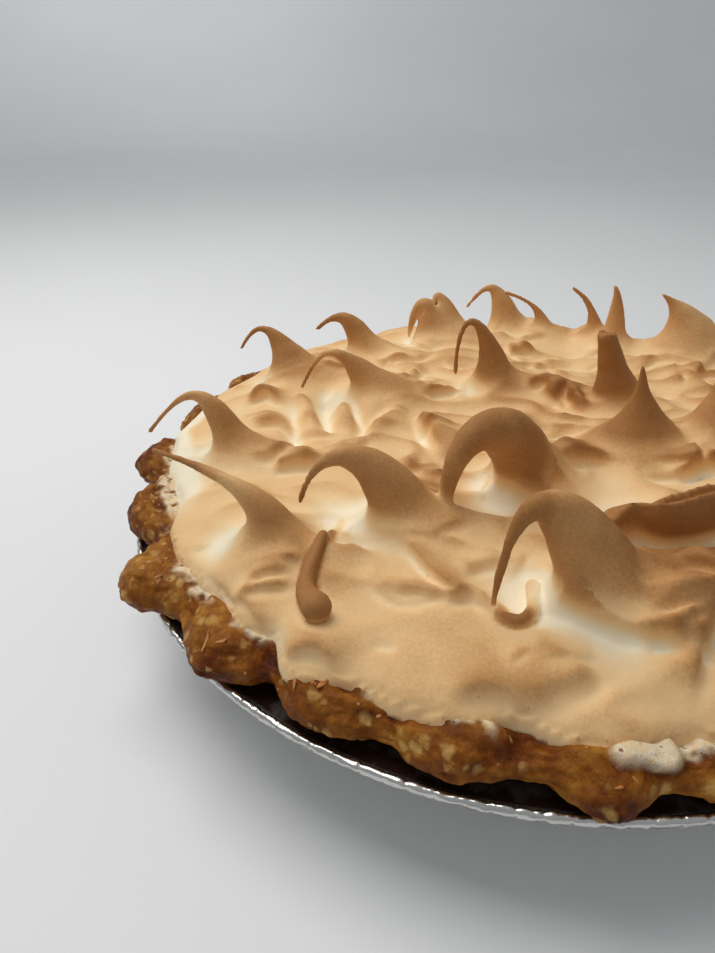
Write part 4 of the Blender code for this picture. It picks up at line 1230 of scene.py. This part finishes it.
def flake_material():
    """Dry, golden flakes of pastry."""
    mat, shader = new_material("pastry_flake")
    colour = ramp(mat, grain(mat, 3.0, 3.0), [
        (0.3, srgb(150, 84, 26)), (0.5, srgb(186, 122, 56)), (0.7, srgb(214, 166, 104))])
    normal = surface_bump(mat, grain(mat, 0.8, 4.0), 0.1, 0.6)
    link(mat, shader, {"Base Color": colour, "Roughness": 0.6, "Normal": normal})
    return mat


def foil_material():
    """Thin aluminium with fine creases; its flange is painted dark brown and dull, partly for juice and fat
    baked on and partly as painted shade under the crust and a painted reflection of the crust's dark
    underside.
    """
    mat, shader = new_material("tin_foil")
    streaks = grain(mat, 1.5, 4.0)
    stain_and_shade = calc(mat, "MULTIPLY", attribute(mat, "stain_and_shade"), ramp(mat, grain(mat, 5.0, 5.0), [
        (0.2, (0.85, 0.85, 0.85, 1)), (0.5, (1, 1, 1, 1))]))
    # Painted dark brown, non-metallic and dull over the flange: partly baked-on stains, partly a painted
    # reflection of the crust's dark underside and painted shade beneath the lip.
    colour = blend_colour(mat, stain_and_shade, srgb(210, 209, 206), srgb(40, 21, 10))
    clean = calc(mat, "MULTIPLY_ADD", streaks, 0.2, 0.14)
    link(mat, shader, {
        "Base Color": colour,
        "Metallic": calc(mat, "SUBTRACT", 1.0, calc(mat, "MULTIPLY", stain_and_shade, 0.95)),
        "Roughness": calc(mat, "ADD", clean, calc(mat, "MULTIPLY", stain_and_shade, 0.35)),
        "Specular IOR Level": calc(mat, "MULTIPLY_ADD", stain_and_shade, -0.42, 0.5),
        "Normal": surface_bump(mat, streaks, 0.15, 0.6),
    })
    return mat


def floor_material():
    """Matt white paper."""
    mat, shader = new_material("paper_sweep")
    colour = ramp(mat, grain(mat, 400.0, 2.0), [(0.3, srgb(232, 233, 234)), (0.7, srgb(238, 239, 240))])
    link(mat, shader, {"Base Color": colour, "Roughness": 0.7})
    return mat


# Stage
def build_floor():
    """Round pale floor that rises gently far from the pie."""
    radii = np.concatenate([[20], np.linspace(400, 1400, 6), 1400 + np.linspace(100, 2200, 24)])
    turns = np.arange(FLOOR_STEPS) * 360 / FLOOR_STEPS
    rows = ring_rows([(radius, FLOOR_RISE * smoothstep(1300, 4200, radius)) for radius in radii], turns)
    points = np.concatenate([rows.reshape(-1, 3), [[0, 0, 0]]])
    centre = len(points) - 1
    faces = grid_faces(len(radii), FLOOR_STEPS)[:, ::-1].tolist()
    faces += [[(k + 1) % FLOOR_STEPS, k, centre] for k in range(FLOOR_STEPS)]
    floor = add_piece("floor", points, faces, floor_material())


def add_light(name, location, aim, size, power, colour=(1.0, 1.0, 1.0)):
    """Add a square soft light that looks at a point."""
    data = bpy.data.lights.new(name, "AREA")
    data.size = size
    data.energy = power
    data.color = colour
    lamp = bpy.data.objects.new(name, data)
    lamp.location = location
    direction = lamp.location.copy()
    direction.x, direction.y, direction.z = (a - b for a, b in zip(aim, location))
    lamp.rotation_euler = direction.to_track_quat("-Z", "Y").to_euler()
    bpy.context.scene.collection.objects.link(lamp)


def build_lights():
    """Soft studio light from above and the left, with an even fill and a lit wall far behind."""
    add_light("top_softbox", (-0.28, 0.06, 0.64), (-0.02, 0.0, 0.03), 0.5, 3.0, (1.0, 0.985, 0.96))
    add_light("far_light", (-0.9, 1.5, 0.9), (-0.9, 2.0, 0.0), 1.0, 2.6)
    world = bpy.data.worlds.new("studio")
    world.use_nodes = True
    background = world.node_tree.nodes["Background"]
    background.inputs["Color"].default_value = (0.97, 0.985, 1.0, 1.0)
    background.inputs["Strength"].default_value = 0.36
    bpy.context.scene.world = world


def build_camera():
    """Camera at the photograph's place: close, in front of the pie and turned to its left."""
    data = bpy.data.cameras.new("camera")
    data.lens = CAMERA_LENS
    data.clip_start = 0.01
    camera = bpy.data.objects.new("camera", data)
    camera.location = CAMERA_PLACE
    camera.rotation_euler = (math.radians(CAMERA_TILT), 0, math.radians(CAMERA_TURN))
    bpy.context.scene.collection.objects.link(camera)
    bpy.context.scene.camera = camera


def main():
    """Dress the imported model."""
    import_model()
    build_camera()
    build_lights()
    build_floor()
    build_tin()
    build_flakes(build_crust())
    build_meringue()
    bpy.context.scene.view_settings.view_transform = "Standard"


main()
